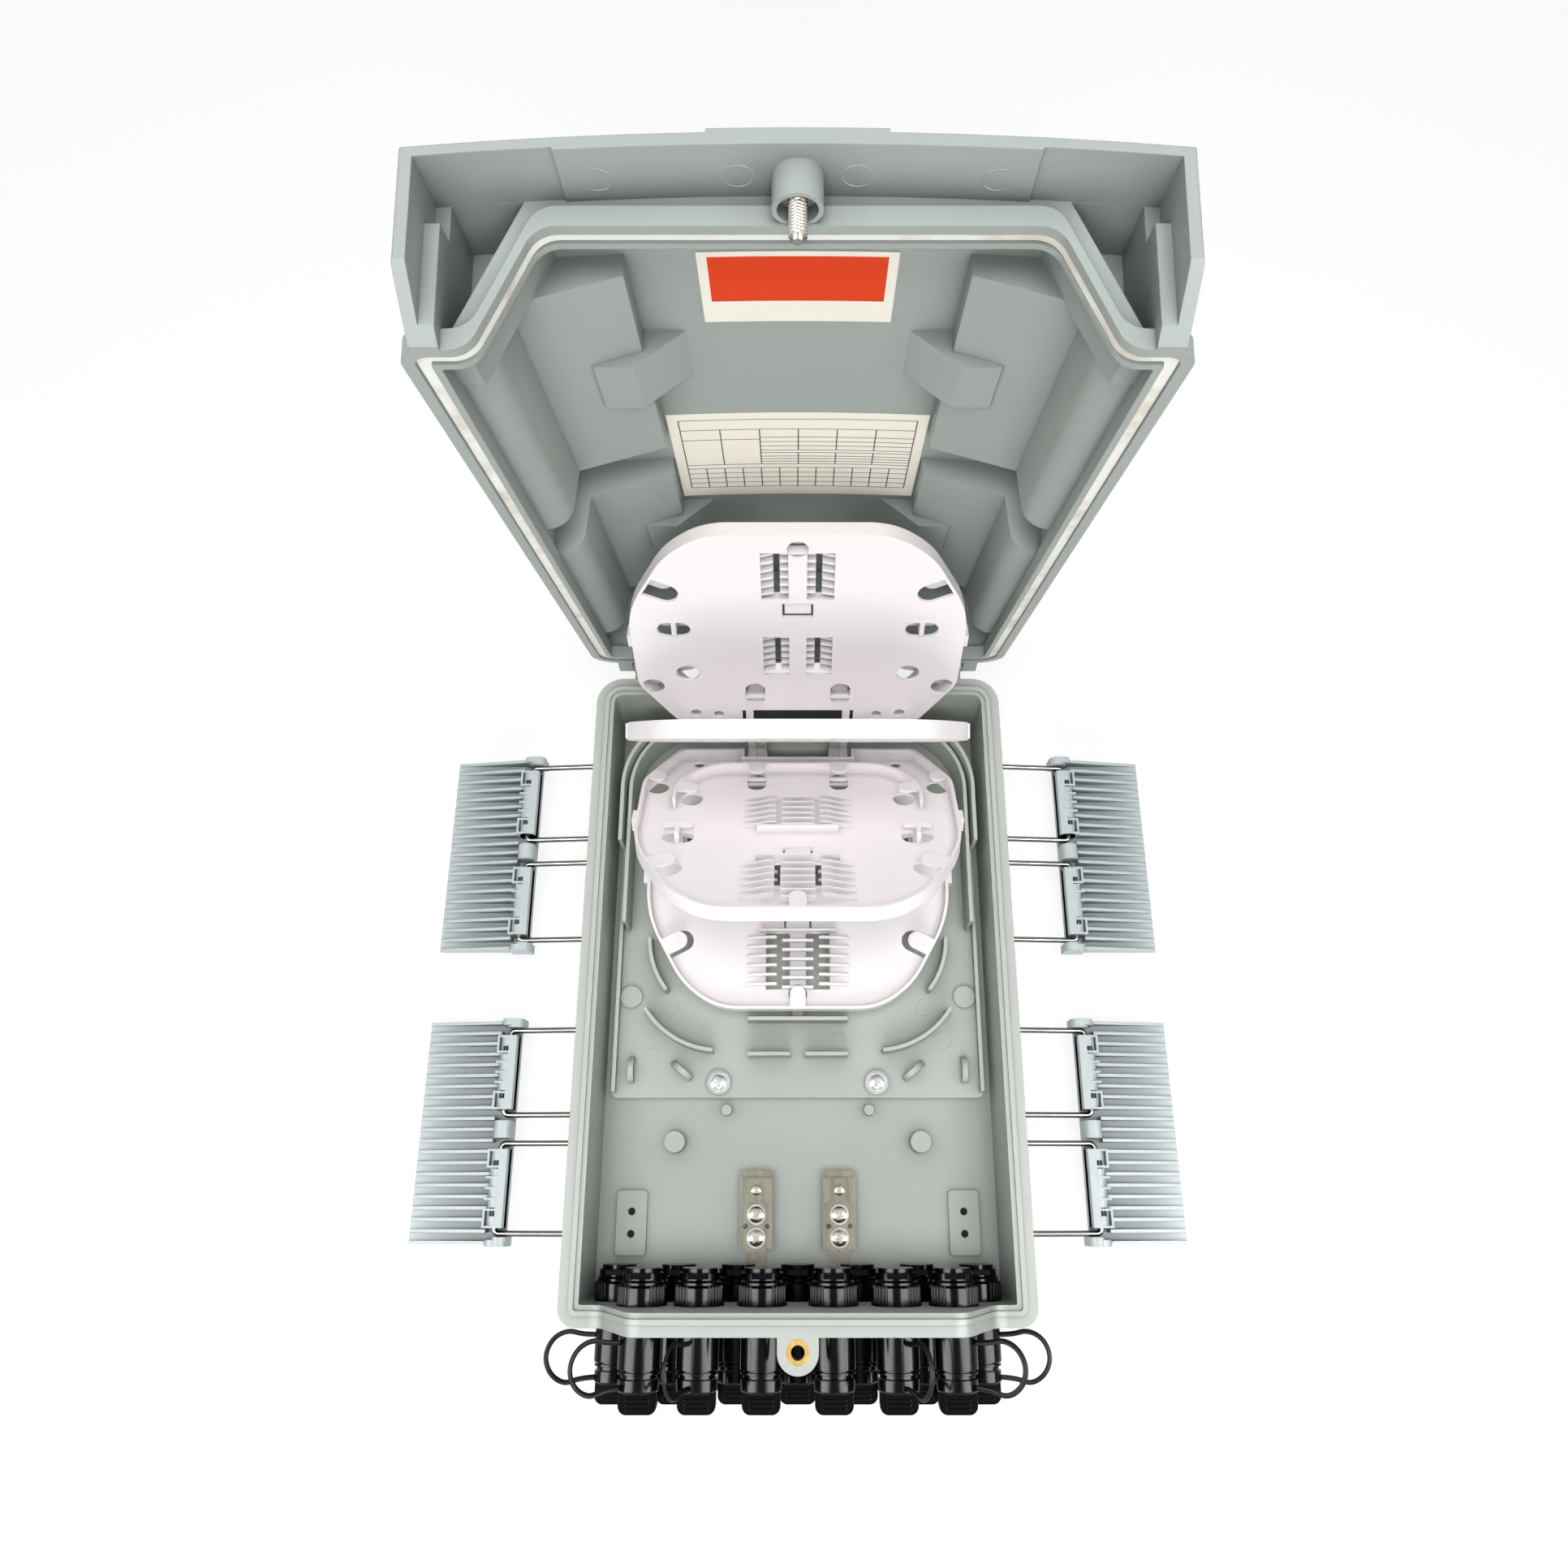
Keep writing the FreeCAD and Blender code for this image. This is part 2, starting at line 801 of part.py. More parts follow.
def latch_pockets(skin):
    """The four latch recesses with their finger notches, grown by a skin."""
    shapes = []
    for centre in (latch_near_y, latch_far_y):
        span = size.latch_span / 2 + size.recess_margin + skin
        half = size.notch_width / 2 + skin
        recess = prism(recess_outline(skin), ALONG, centre - span, centre + span)
        notch = prism(notch_outline(skin), ALONG, centre - half, centre + half)
        shapes += pair(fuse(recess, notch))
    return shapes


def lid_shell():
    outer = prism(
        rectangle(-lid_half, lid_half, lid_near_y, lid_far_y, 1, size.far_corner - size.tongue_inset),
        UP,
        rim_z + size.close_gap,
        lid_top + size.lid_crown + BEYOND,
    )
    crown = rod(ALONG, crown_radius, lid_near_y - 1, lid_far_y + 1, 0, crown_z)
    mass = common(outer, crown)
    inside = lid_half - size.lid_wall
    inner_crown = rod(
        ALONG, crown_radius - size.lid_panel, lid_near_y - BEYOND, lid_far_y + 1, 0, crown_z
    )
    end_wall = near_y + size.flange_reach
    cavity = rectangle(-inside, inside, end_wall, lid_far_y - size.lid_wall, 3, size.far_corner - 9)
    hood = rectangle(-inside, inside, lid_near_y - BEYOND, end_wall - size.lid_wall)
    tall = (rim_z - BEYOND, lid_top + BEYOND)
    hollow = [common(prism(shape, UP, *tall), inner_crown) for shape in (cavity, hood)]
    shell = cut(mass, *hollow)
    shell = cut(shell, under_rim(size.close_gap))

    flange_inner = groove_inset + size.groove_width + size.lid_lip
    flange = rim_layer(size.close_gap, size.lid_flange_thick, 0, flange_inner)
    ceiling = common(prism(rectangle(-lid_half, lid_half, lid_near_y, lid_far_y), UP, *tall), crown)
    blocks = [common(item, ceiling) for item in latch_pockets(size.recess_skin)]
    boss_y = near_y - size.lock_y
    boss_low = lid_top - size.lock_boss_drop
    boss = common(rod(UP, size.lock_boss, boss_low, lid_top + BEYOND, 0, boss_y), crown)

    arm_start = knuckle_inner + size.knuckle_width + size.side_gap
    eye = size.knuckle_round
    arm = [
        (lid_far_y - 2, hinge_z - 1, 0),
        (hinge_y, hinge_z - eye, 0),
        (hinge_y + eye, hinge_z, 0),
        (hinge_y, hinge_z + eye, 0),
        (lid_far_y - 2, hinge_z + size.lid_arm_rise, 0),
    ]
    arms = []
    for start in (arm_start, knuckle_inner - size.side_gap - size.lid_arm_width):
        end = start + size.lid_arm_width
        eye_rod = rod(ACROSS, eye, start, end, hinge_y, hinge_z)
        arms += pair(fuse(prism(arm, ACROSS, start, end), eye_rod))
    rib = block(
        lid_half - size.hood_rib_reach,
        lid_half - size.lid_wall + 1,
        near_y - size.hood_rib_depth,
        end_wall - 1,
        rim_z + size.close_gap,
        rim_z + size.hood_rib_height,
    )
    pad_radius = crown_radius - size.lid_panel - size.hood_pad
    pad = cut(
        rod(ALONG, crown_radius - 1, lid_near_y, end_wall - 1, 0, crown_z),
        rod(ALONG, pad_radius, lid_near_y - 1, end_wall, 0, crown_z),
    )
    half = size.hood_pad_half
    pad = common(pad, block(-half, half, lid_near_y, end_wall - 1, lid_top - BEYOND, lid_top + BEYOND))
    plate_end = lid_near_y + size.plate_length
    half = size.plate_half
    plate = common(
        rod(ALONG, crown_radius + size.plate_thick, lid_near_y, plate_end, 0, crown_z),
        block(-half, half, lid_near_y, plate_end, lid_top + size.lid_panel, lid_top + BEYOND),
    )
    solids = fuse(shell, flange, boss, pad, plate, *pair(rib), *blocks, *arms)

    recesses = latch_pockets(dim(0))
    groove = rim_layer(-1, groove_top, groove_inset, groove_inset + size.groove_width)
    bore = size.pin_radius + size.running_fit
    pin_start = knuckle_inner - size.side_gap - size.lid_arm_width - 1
    pin_end = arm_start + size.lid_arm_width + 1
    pins = pair(rod(ACROSS, bore, pin_start, pin_end, hinge_y, hinge_z))
    head_z = lid_top + size.lid_crown - size.lock_head_thick - size.lock_head_sink
    lock_bore = rod(UP, size.lock_shank + size.lock_fit, boss_low - 1, lid_top + BEYOND, 0, boss_y)
    lock_sink = rod(UP, size.lock_head + size.lock_fit, head_z, lid_top + BEYOND, 0, boss_y)
    sweep = [
        (lid_near_y - 1, rim_z - 1, 0),
        (near_y, rim_z - 1, 0),
        (lid_near_y + 3, rim_z + size.hood_sweep, 0),
        (lid_near_y - 1, rim_z + size.hood_sweep + 4, 0),
    ]
    swept = prism(sweep, ACROSS, -half_width - 1, half_width + 1)
    shut = cut(solids, groove, lock_bore, lock_sink, swept, *pins, *recesses)
    node("lid_shell", swing_open(group(shut)))

    fit = size.gasket_fit
    gasket = rim_layer(
        groove_top - size.gasket_thick,
        groove_top - fit,
        groove_inset + fit,
        groove_inset + size.groove_width - fit,
    )
    node("lid_gasket", swing_open(group(gasket)))

    shank = rod(UP, size.lock_shank, lid_top - size.lock_tip_drop, head_z + 1, 0, boss_y)
    head = rod(UP, size.lock_head, head_z, head_z + size.lock_head_thick, 0, boss_y)
    wide = size.lock_slot / 2
    reach = size.lock_head + 1
    slot_z = head_z + size.lock_head_thick - size.lock_slot
    slot = block(-wide, wide, boss_y - reach, boss_y + reach, slot_z, lid_top + BEYOND)
    node("lock_screw", swing_open(group(cut(fuse(shank, head), slot))))

    pin_x = (pin_start + 1, pin_end - 1)
    right = rod(ACROSS, size.pin_radius, pin_x[0], pin_x[1], hinge_y, hinge_z)
    node("hinge_pin_right", right)
    node("hinge_pin_left", mirrored(right))

    label_radius = crown_radius - size.lid_panel - size.label_gap
    under = crown_z + label_radius
    for label, y0, length, half in (
        ("upper_label", near_y + size.upper_label_gap, size.upper_label_length, size.upper_label_half),
        ("log_label", near_y + size.log_label_gap, size.log_label_length, size.log_label_half),
    ):
        y1 = y0 + length
        bent = cut(
            rod(ALONG, label_radius, y0, y1, 0, crown_z),
            rod(ALONG, label_radius - size.label_thick, y0 - 1, y1 + 1, 0, crown_z),
        )
        sheet_cut = block(-half, half, y0, y1, under - 5, under + 1)
        node(label, swing_open(group(common(bent, sheet_cut))))


def lock_insert():
    top = rim_z + size.rise
    y = near_y - size.lock_y
    sleeve = rod(UP, size.insert_radius, top - size.tab_thick, top + size.insert_stand, 0, y)
    hole = rod(UP, size.insert_bore, top - size.tab_thick - 1, top + 1, 0, y)
    node("lock_insert", cut(sleeve, hole))


# Latches: a finned lever on two wire bails, on each long side
def latch_pieces():
    radius = size.wire_radius
    crank = -size.bail_crank
    wires = []
    for side in (-1, 1):
        inner = side * size.bail_leg_inner
        outer = side * bail_leg_outer
        rods = []
        for leg, way in ((inner, side), (outer, -side)):
            tip = leg + way * (size.stub_length - 1)
            ends = sorted((leg - way * radius, tip), key=lambda d: d.number)
            rods.append(rod(ALONG, radius, ends[0], ends[1], 0, 0))
            rods.append(rod(UP, radius, crank - radius, radius, 0, leg))
            rods.append(rod(ACROSS, radius, -radius, size.bail_reach + radius, leg, crank))
        ends = sorted((inner - side * radius, outer + side * radius), key=lambda d: d.number)
        rods.append(rod(ALONG, radius, ends[0], ends[1], size.bail_reach, crank))
        wires.append(fuse(*rods))
    bails = group(*wires)

    plate_low = -size.lever_drop
    plate_top = plate_low + size.lever_plate
    outer_edge = size.lever_width - size.lever_behind
    half = size.latch_span / 2
    solids = [block(-size.lever_behind, outer_edge, -half, half, plate_low, plate_top)]
    count = int(size.fin_count.number)
    pitch = (size.latch_span - size.fin_thick) / (size.fin_count - 1)
    fin = [
        (size.tube_radius, plate_low, 0),
        (outer_edge, plate_low, 0),
        (outer_edge, plate_top + size.fin_tip, 0),
        (size.tube_radius, size.fin_rise, 0),
    ]
    for step in range(count):
        y = pitch * step - half
        solids.append(prism(fin, ALONG, y, y + size.fin_thick))
    leg_gap = radius + size.leg_clearance
    spans = [
        (size.bail_leg_inner + leg_gap, bail_leg_outer - leg_gap),
        (leg_gap - bail_leg_outer, -size.bail_leg_inner - leg_gap),
        (leg_gap - size.bail_leg_inner, size.bail_leg_inner - leg_gap),
        (bail_leg_outer + leg_gap, half + 1),
        (-half - 1, -bail_leg_outer - leg_gap),
    ]
    for low, high in spans:
        solids.append(rod(ALONG, size.tube_radius, low, high, 0, 0))
        solids.append(block(-size.tube_radius, size.tube_radius, low, high, plate_low, 0))
    bores = []
    for low, high in spans[:2]:
        bores.append(rod(ALONG, radius + size.running_fit, low - 1, high + 1, 0, 0))
        for share in (0.2, 0.8):
            y = low + (high - low) * share
            wide = size.window_half
            reach = size.window_length / 2
            bores.append(block(-wide, wide, y - reach, y + reach, 0, size.tube_radius + 1))
    knob_in = -size.tube_radius - size.knob_reach
    for low, high in ((half - size.knob_length, half + 1), (-half - 1, size.knob_length - half)):
        solids.append(block(knob_in, 0, low, high, plate_low, 0))
        solids.append(rod(ALONG, size.tube_radius, low, high, -size.knob_reach, 0))
    lever = cut(fuse(*solids), *bores)

    pivot_x = half_width - size.bail_pivot_inset
    pivot_z = rim_z - size.bail_pivot_drop
    droop = size.bail_droop
    bar_x = pivot_x + size.bail_reach * cosine(droop) - size.bail_crank * sine(droop)
    bar_z = pivot_z - size.bail_reach * sine(droop) - size.bail_crank * cosine(droop)
    for spot, y in (("near", latch_near_y), ("far", latch_far_y)):
        bail = copy_at(bails, pivot_x, y, pivot_z, ALONG, droop)
        node("latch_bails_right_" + spot, bail)
        node("latch_bails_left_" + spot, mirrored(bail))
        arm = copy_at(lever, bar_x, y, bar_z)
        node("latch_lever_right_" + spot, arm)
        node("latch_lever_left_" + spot, mirrored(arm))


# Splice trays, all alike, on one tower. The layout below is drawn on a tray of this half width and length,
# as (across from the middle, down from the hinge), and follows the real tray's size.
DRAWN_HALF = 83.5
DRAWN_LENGTH = 150
# Right half of the outline: place, rounding, and the share of an inset that it takes each way
TRAY_CORNERS = [
    (65.5, 13.5, 5, 1, -1),
    (83.5, 44, 20, 1, 0),
    (83.5, 99, 60, 1, 0),
    (63, 136, 45, 0.8, 0.6),
    (44, 150, 35, 0.3, 1),
]
# Combs that hold the splice sleeves: where each group starts and ends, and its pieces' reach from the middle
COMB_GROUPS = [(51.6, 80.8), (108, 138.6)]
COMB_COUNT = 6
COMB_SHIFT = -0.35
COMB_STRIP = 4.4
COMB_INNER = 8.5
COMB_TIP = 11.5
COMB_PEAK = 15
COMB_WINDOW = 17.4
COMB_FOOT = 28
COMB_STOPS = [(81.8, 83), (106, 107.2)]
STOP_HALF = 21
# Wall that turns the fibre: its side, its far line, its ends and its rounding
TURN_WALL = (65.5, 28, 62, 30)
# Holes under the tabs: place, radius, length of the run and its direction
ROUND_HOLES = [(57, 53, 6), (76, 42, 6), (55, 19.5, 3), (42.7, 18.5, 2.7)]
OVAL_HOLES = [(58.25, 86.5, 5, 6.5, 0), (22.5, 39.3, 5.2, 6.6, 90)]
CORNER_SLOT = (63, 112, 5.75, 13, -27)
# Tabs that keep the fibre down: place of the round end, radius, length of the run and its direction
EDGE_TABS = [
    (65, 113, 4.75, 16, -27),
    (75.5, 40.5, 4, 12, 30),
    (57.5, 51.5, 4, 8, 13),
    (22.5, 33, 4.2, 6, 90),
]
CROSS_TAB = (56, 84, 2.2, 11, 0)
# Bars over two of the holes: both ends across, the line they cross, and their reach on either side of it
HOLE_BARS = [(60.3, 62.7, 86.5, 5.5, 4.5), (17, 28, 33, 1, 1)]
END_HOLE = (141, 5)
END_TAB = (0, 142, 4.2, 9, -90)
MIDDLE_SLOT = (7.5, 95.5, 105)
MIDDLE_TONGUE = (6.4, 97.5, 105.5)
CLIP_PLACE = 77


def across(value):
    return tray_half * (value / DRAWN_HALF)


def down(value):
    return -(tray_length * (value / DRAWN_LENGTH))


def tray_outline(inset):
    right = [
        (across(x) - inset * share_x, down(y) + inset * share_y, across(radius))
        for x, y, radius, share_x, share_y in TRAY_CORNERS
    ]
    left = [(-x, y, radius) for x, y, radius in reversed(right)]
    return list(reversed(right + left))


def finger(layout, low, high):
    """A bar with one round end, laid out by its round end, radius, run and direction."""
    x, y, radius, run, turn = layout
    half = across(radius)
    shape = fuse(rod(UP, half, low, high, 0, 0), block(0, across(run), -half, half, low, high))
    return copy_at(shape, across(x), down(y), 0, UP, turn)


def oval(layout, low, high):
    """A bar with two round ends."""
    x, y, radius, run, turn = layout
    half = across(radius)
    shape = fuse(
        rod(UP, half, low, high, 0, 0),
        rod(UP, half, low, high, across(run), 0),
        block(0, across(run), -half, half, low, high),
    )
    return copy_at(shape, across(x), down(y), 0, UP, turn)


def tray_combs(sunk, floor_top):
    """Fingers beside and over the comb windows, and the stops at the groups' ends."""
    half = size.comb_half
    peak = floor_top + size.comb_rise
    side = [
        (across(COMB_TIP), floor_top + size.comb_low, 0),
        (across(COMB_WINDOW), sunk, 0),
        (across(COMB_FOOT), sunk, 0),
        (across(COMB_FOOT), floor_top + size.comb_low, 0),
        (across(COMB_PEAK), peak, 0),
        (across(COMB_TIP), peak, 0),
    ]
    inner = across(COMB_INNER)
    shapes = []
    for start, end in COMB_GROUPS:
        pitch = (down(start) - down(end)) / COMB_COUNT
        for step in range(COMB_COUNT):
            y = down(end) + pitch * (step + 0.5)
            shapes += pair(prism(side, ALONG, y - half, y + half))
            y = y + pitch * COMB_SHIFT
            shapes.append(block(-inner, inner, y - half, y + half, sunk, peak))
    wide = across(STOP_HALF)
    for start, end in COMB_STOPS:
        shapes.append(block(-wide, wide, down(end), down(start), sunk, floor_top + size.comb_stop_rise))
    return shapes


def tray_turn_wall(sunk, top):
    side, far, end, rounding = TURN_WALL
    shapes = []
    for shift, reach in ((size.tray_wall_half, 0), (-size.tray_wall_half, 1)):
        x = across(side) + shift
        corners = rectangle(-x, x, down(end) - reach, down(far) + shift, 0, across(rounding) + shift)
        shapes.append(prism(corners, UP, sunk - reach, top + reach))
    return cut(*shapes)


def tray_holes(low, high):
    holes = [rod(UP, across(END_HOLE[1]), low, high, 0, down(END_HOLE[0]))]
    for x, y, radius in ROUND_HOLES:
        holes += pair(rod(UP, across(radius), low, high, across(x), down(y)))
    for layout in OVAL_HOLES:
        holes += pair(oval(layout, low, high))
    holes += pair(finger(CORNER_SLOT, low, high))
    for start, end in COMB_GROUPS:
        holes += pair(block(across(COMB_STRIP), across(COMB_WINDOW), down(end), down(start), low, high))
    half, start, end = MIDDLE_SLOT
    holes.append(block(-across(half), across(half), down(end), down(start), low, high))
    return holes


def splice_trays():
    low = -size.tray_drop
    floor_top = low + size.tray_skin
    sunk = low + size.tray_skin / 2
    top = low + size.tray_rim
    tab_low = top - size.tray_tab
    edge = prism(tray_outline(dim(0)), UP, low, top)
    rim = cut(edge, prism(tray_outline(size.tray_skin), UP, low - 1, top + 1))
    floor = prism(tray_outline(size.tray_skin / 2), UP, low, floor_top)
    floor = cut(floor, *tray_holes(low - 1, floor_top + 1))

    wide = size.tray_notch
    deep = size.tray_notch_depth
    lining = block(-wide - size.tray_skin, wide + size.tray_skin, -deep - size.tray_skin, 0, low, top)
    tabs = [lining, finger(END_TAB, tab_low, top)]
    for layout in EDGE_TABS:
        tabs += pair(finger(layout, tab_low, top))
    notch = block(-wide, wide, -deep, 1, low - 1, top + 1)
    pan = cut(fuse(rim, floor, common(fuse(*tabs), edge)), notch)

    solids = tray_combs(sunk, floor_top)
    solids.append(tray_turn_wall(sunk, top))
    solids += pair(oval(CROSS_TAB, tab_low, top))
    for (x0, x1, line, near, far), high in zip(HOLE_BARS, (top, floor_top)):
        y = down(line)
        solids += pair(block(across(x0), across(x1), y - across(near), y + across(far), low, high))
    half, start, end = MIDDLE_TONGUE
    solids.append(block(-across(half), across(half), down(end), down(start), sunk, floor_top))
    arm_inner = size.post_outer + size.side_gap
    arm_outer = arm_inner + size.tray_arm
    solids += pair(block(arm_inner, arm_outer, -deep - 1, 0, low, -size.tray_arm_drop))
    solids += pair(rod(ACROSS, size.tray_eye, arm_inner, arm_outer, 0, 0))
    solids += pair(rod(ACROSS, size.tray_pin, arm_inner - size.tray_pin_reach, arm_outer - 1, 0, 0))
    clip_y = down(CLIP_PLACE)
    half = size.tray_clip_half
    clip_x = tray_half + size.tray_clip
    solids += pair(block(tray_half - 1, clip_x, clip_y - half, clip_y + half, low + 1, top))
    tray = fuse(pan, *solids)
    for step, angle in enumerate((dim(0), size.tray_2_angle, size.tray_3_angle, size.tray_4_angle)):
        z = tray_hinge_z + size.tray_pitch * step
        item = copy_at(tray, 0, tray_hinge_y, z, ACROSS, -angle)
        node("splice_tray_%d" % (step + 1), item)


TRAY_COUNT = 4


def tray_tower():
    y = tray_hinge_y
    half = size.post_depth / 2
    top = tray_hinge_z + size.tray_pitch * (TRAY_COUNT - 1) + size.post_cap
    inner = size.post_outer - size.post_width
    outer = size.post_outer
    posts = pair(block(inner, outer, y - half, y + half, carrier_top, top))
    bridge_top = top - size.tower_bridge_drop
    bridge = block(-inner - 1, inner + 1, y + half - size.tower_bridge, y + half, carrier_top, bridge_top)
    foot_near = y - half - size.tower_foot_near
    foot_far = y + half + size.tower_foot_far
    foot = block(-outer, outer, foot_near, foot_far, carrier_top, carrier_top + size.tower_foot)
    holes = []
    for step in range(TRAY_COUNT):
        z = tray_hinge_z + size.tray_pitch * step
        bore = size.tray_pin + size.running_fit
        start = outer - size.tray_pin_reach - size.tray_pin_gap
        holes += pair(rod(ACROSS, bore, start, outer + 1, y, z))
    node("tray_tower", cut(fuse(*posts, bridge, foot), *holes))


# Carrier plate with its fibre guides
def guide_wall(x, y, radius, start, sweep, low, high):
    """A curved wall standing on the plate, from a start angle through a sweep."""
    outer = rod(UP, radius, low, high, 0, 0, sweep)
    inner = rod(UP, radius - size.guide_thick, low - 1, high + 1, 0, 0)
    return copy_at(cut(outer, inner), x, y, 0, UP, start)


def tie_loop(x, y, low, turn):
    """A small arch for a cable tie, standing on the plate."""
    half = size.tie_width / 2
    ring = cut(
        rod(ACROSS, size.tie_radius, -half, half, 0, 0),
        rod(ACROSS, size.tie_radius - size.guide_thick, -size.tie_width, size.tie_width, 0, 0),
    )
    reach = size.tie_radius + 1
    arch = common(ring, block(-reach, reach, -reach, reach, -1, reach))
    return copy_at(arch, x, y, low, UP, turn)


def pan_screw(seat, x, y):
    """A pan-head screw with its washer, its head seated at a height."""
    washer_top = seat + size.screw_washer_thick
    head = rod(UP, size.screw_head, seat, washer_top + size.screw_head_height, x, y)
    washer = rod(UP, size.screw_washer, seat, washer_top, x, y)
    shank = rod(UP, size.screw_shank, seat - size.screw_depth, seat + 1, x, y)
    return fuse(head, washer, shank)


def carrier_plate():
    low = size.floor_thick + size.carrier_lift
    top = carrier_top
    half = carrier_half
    near = carrier_near_y
    far = carrier_far_y
    shape = rectangle(-half, half, near, far, 3, size.arch_round)
    inner = rectangle(
        size.guide_thick - half,
        half - size.guide_thick,
        near + size.guide_thick,
        far - size.guide_thick,
        2,
        size.arch_round - size.guide_thick,
    )
    rim = cut(prism(shape, UP, top - 1, top + size.carrier_rim), prism(inner, UP, top - 2, top + 20))
    open_near = block(-half - 1, half + 1, near - 1, near + size.guide_thick + 1, top, top + 20)
    rim = cut(rim, open_near)
    arch_far = far - size.arch_inset
    arch_round = size.arch_round - size.arch_inset
    arch_near = arch_far - size.arch_length
    arch_half = half - size.arch_side
    arch_out = rectangle(-arch_half, arch_half, arch_near, arch_far, 1, arch_round)
    arch_in = rectangle(
        size.guide_thick - arch_half,
        arch_half - size.guide_thick,
        arch_near - BEYOND,
        arch_far - size.guide_thick,
        1,
        arch_round - size.guide_thick,
    )
    arch = cut(
        prism(arch_out, UP, top - 1, top + size.arch_height), prism(arch_in, UP, top - 2, top + BEYOND)
    )
    solids = [prism(shape, UP, low, top), rim, arch]
    guide_top = top + size.guide_height
    for x, y, radius, start, sweep in (
        (
            size.outer_guide_in - half,
            near + size.outer_guide_ahead,
            size.outer_guide_radius,
            size.outer_guide_start,
            size.outer_guide_sweep,
        ),
        (
            size.inner_guide_in - half,
            near + size.inner_guide_ahead,
            size.inner_guide_radius,
            size.inner_guide_start,
            size.inner_guide_sweep,
        ),
    ):
        solids += pair(guide_wall(x, y, radius, start, sweep, top - 1, guide_top))
    wide = size.bar_half
    bar_y = near + size.bar_ahead
    pair_y = bar_y - size.bar_step
    solids.append(block(-wide, wide, bar_y, bar_y + size.guide_thick, top - 1, guide_top))
    solids += pair(block(size.bar_split, wide, pair_y, pair_y + size.guide_thick, top - 1, guide_top))
    stem_end = bar_y + size.stem_length
    solids.append(block(-size.stem_half, size.stem_half, bar_y, stem_end, top - 1, top + size.stem_height))
    solids += pair(tie_loop(size.edge_tie_in - half, near + size.edge_tie_ahead, top, 0))
    slant_y = near + size.slant_tie_ahead
    solids += pair(tie_loop(size.slant_tie_in - half, slant_y, top, size.slant_tie_turn))
    seat = top + size.seat_height
    for x, y, radius in (
        (carrier_screw_x, carrier_screw_y, size.seat_radius),
        (half - size.side_boss_in, near + size.side_boss_ahead, size.side_boss_radius),
    ):
        solids += pair(rod(UP, radius, top - 1, seat, x, y))
    holes = pair(rod(UP, size.screw_bore, low - 1, seat + 1, carrier_screw_x, carrier_screw_y))
    node("carrier_plate", cut(fuse(*solids), *holes))
    node("carrier_screws", group(*pair(pan_screw(seat, carrier_screw_x, carrier_screw_y))))


# Cable clamps by the adapter end
def cable_clamps():
    low = size.floor_thick + size.clamp_lift
    top = low + size.clamp_sheet
    half = size.clamp_width / 2
    narrow = size.clamp_narrow / 2
    skin = size.clamp_sheet
    floor = size.floor_thick
    leg_y = clamp_near_y
    strip = fuse(
        block(-half, half, leg_y + skin, leg_y + size.clamp_length, low, top),
        block(-narrow, narrow, leg_y, leg_y + 2 * skin, low, top),
        block(-narrow, narrow, leg_y, leg_y + skin, floor, top),
        block(-narrow, narrow, leg_y - size.clamp_foot, leg_y + skin, floor, floor + skin),
    )
    bridge_y = leg_y + size.bridge_in
    reach = size.bridge_length / 2
    over = top + size.bridge_rise
    saddle = cut(
        block(-half, half, bridge_y - reach, bridge_y + reach, top, over),
        block(skin - half, half - skin, bridge_y - reach - 1, bridge_y + reach + 1, top - 1, over - skin),
        rod(UP, size.bridge_bore, top, over + 1, 0, bridge_y),
    )
    spots = (clamp_screw_y, clamp_screw_y - size.clamp_screw_step)
    holes = [rod(UP, size.screw_bore, low - 1, top + 1, 0, y) for y in spots]
    between = clamp_screw_y - size.clamp_screw_step / 2
    holes += pair(rod(UP, size.clamp_hole, low - 1, top + 1, size.clamp_hole_x, between))
    holes.append(rod(UP, size.bridge_bore, low - 1, top + 1, 0, bridge_y))
    plain = cut(strip, *holes)
    bridge_screw = fuse(
        rod(UP, size.bridge_head, over, over + size.bridge_head_height, 0, bridge_y),
        rod(UP, size.bridge_shank, low, over + 1, 0, bridge_y),
    )
    screws = [pan_screw(top, 0, y) for y in spots] + [bridge_screw]
    placed = []
    for side, x in (("left", -size.clamp_x), ("right", size.clamp_x)):
        node("clamp_strip_" + side, copy_at(plain, x, 0, 0))
        node("clamp_bridge_" + side, copy_at(saddle, x, 0, 0))
        placed += [copy_at(screw, x, 0, 0) for screw in screws]
    node("clamp_screws", group(*placed))


# Adapters: body through the end wall, seal outside, nut inside, turning dust cap
KNURL_MIDDLES = (45, 135, 225, 315)
KNURL_STEPS = (-2, -1, 0, 1, 2)
RIDGE_COUNT = 3


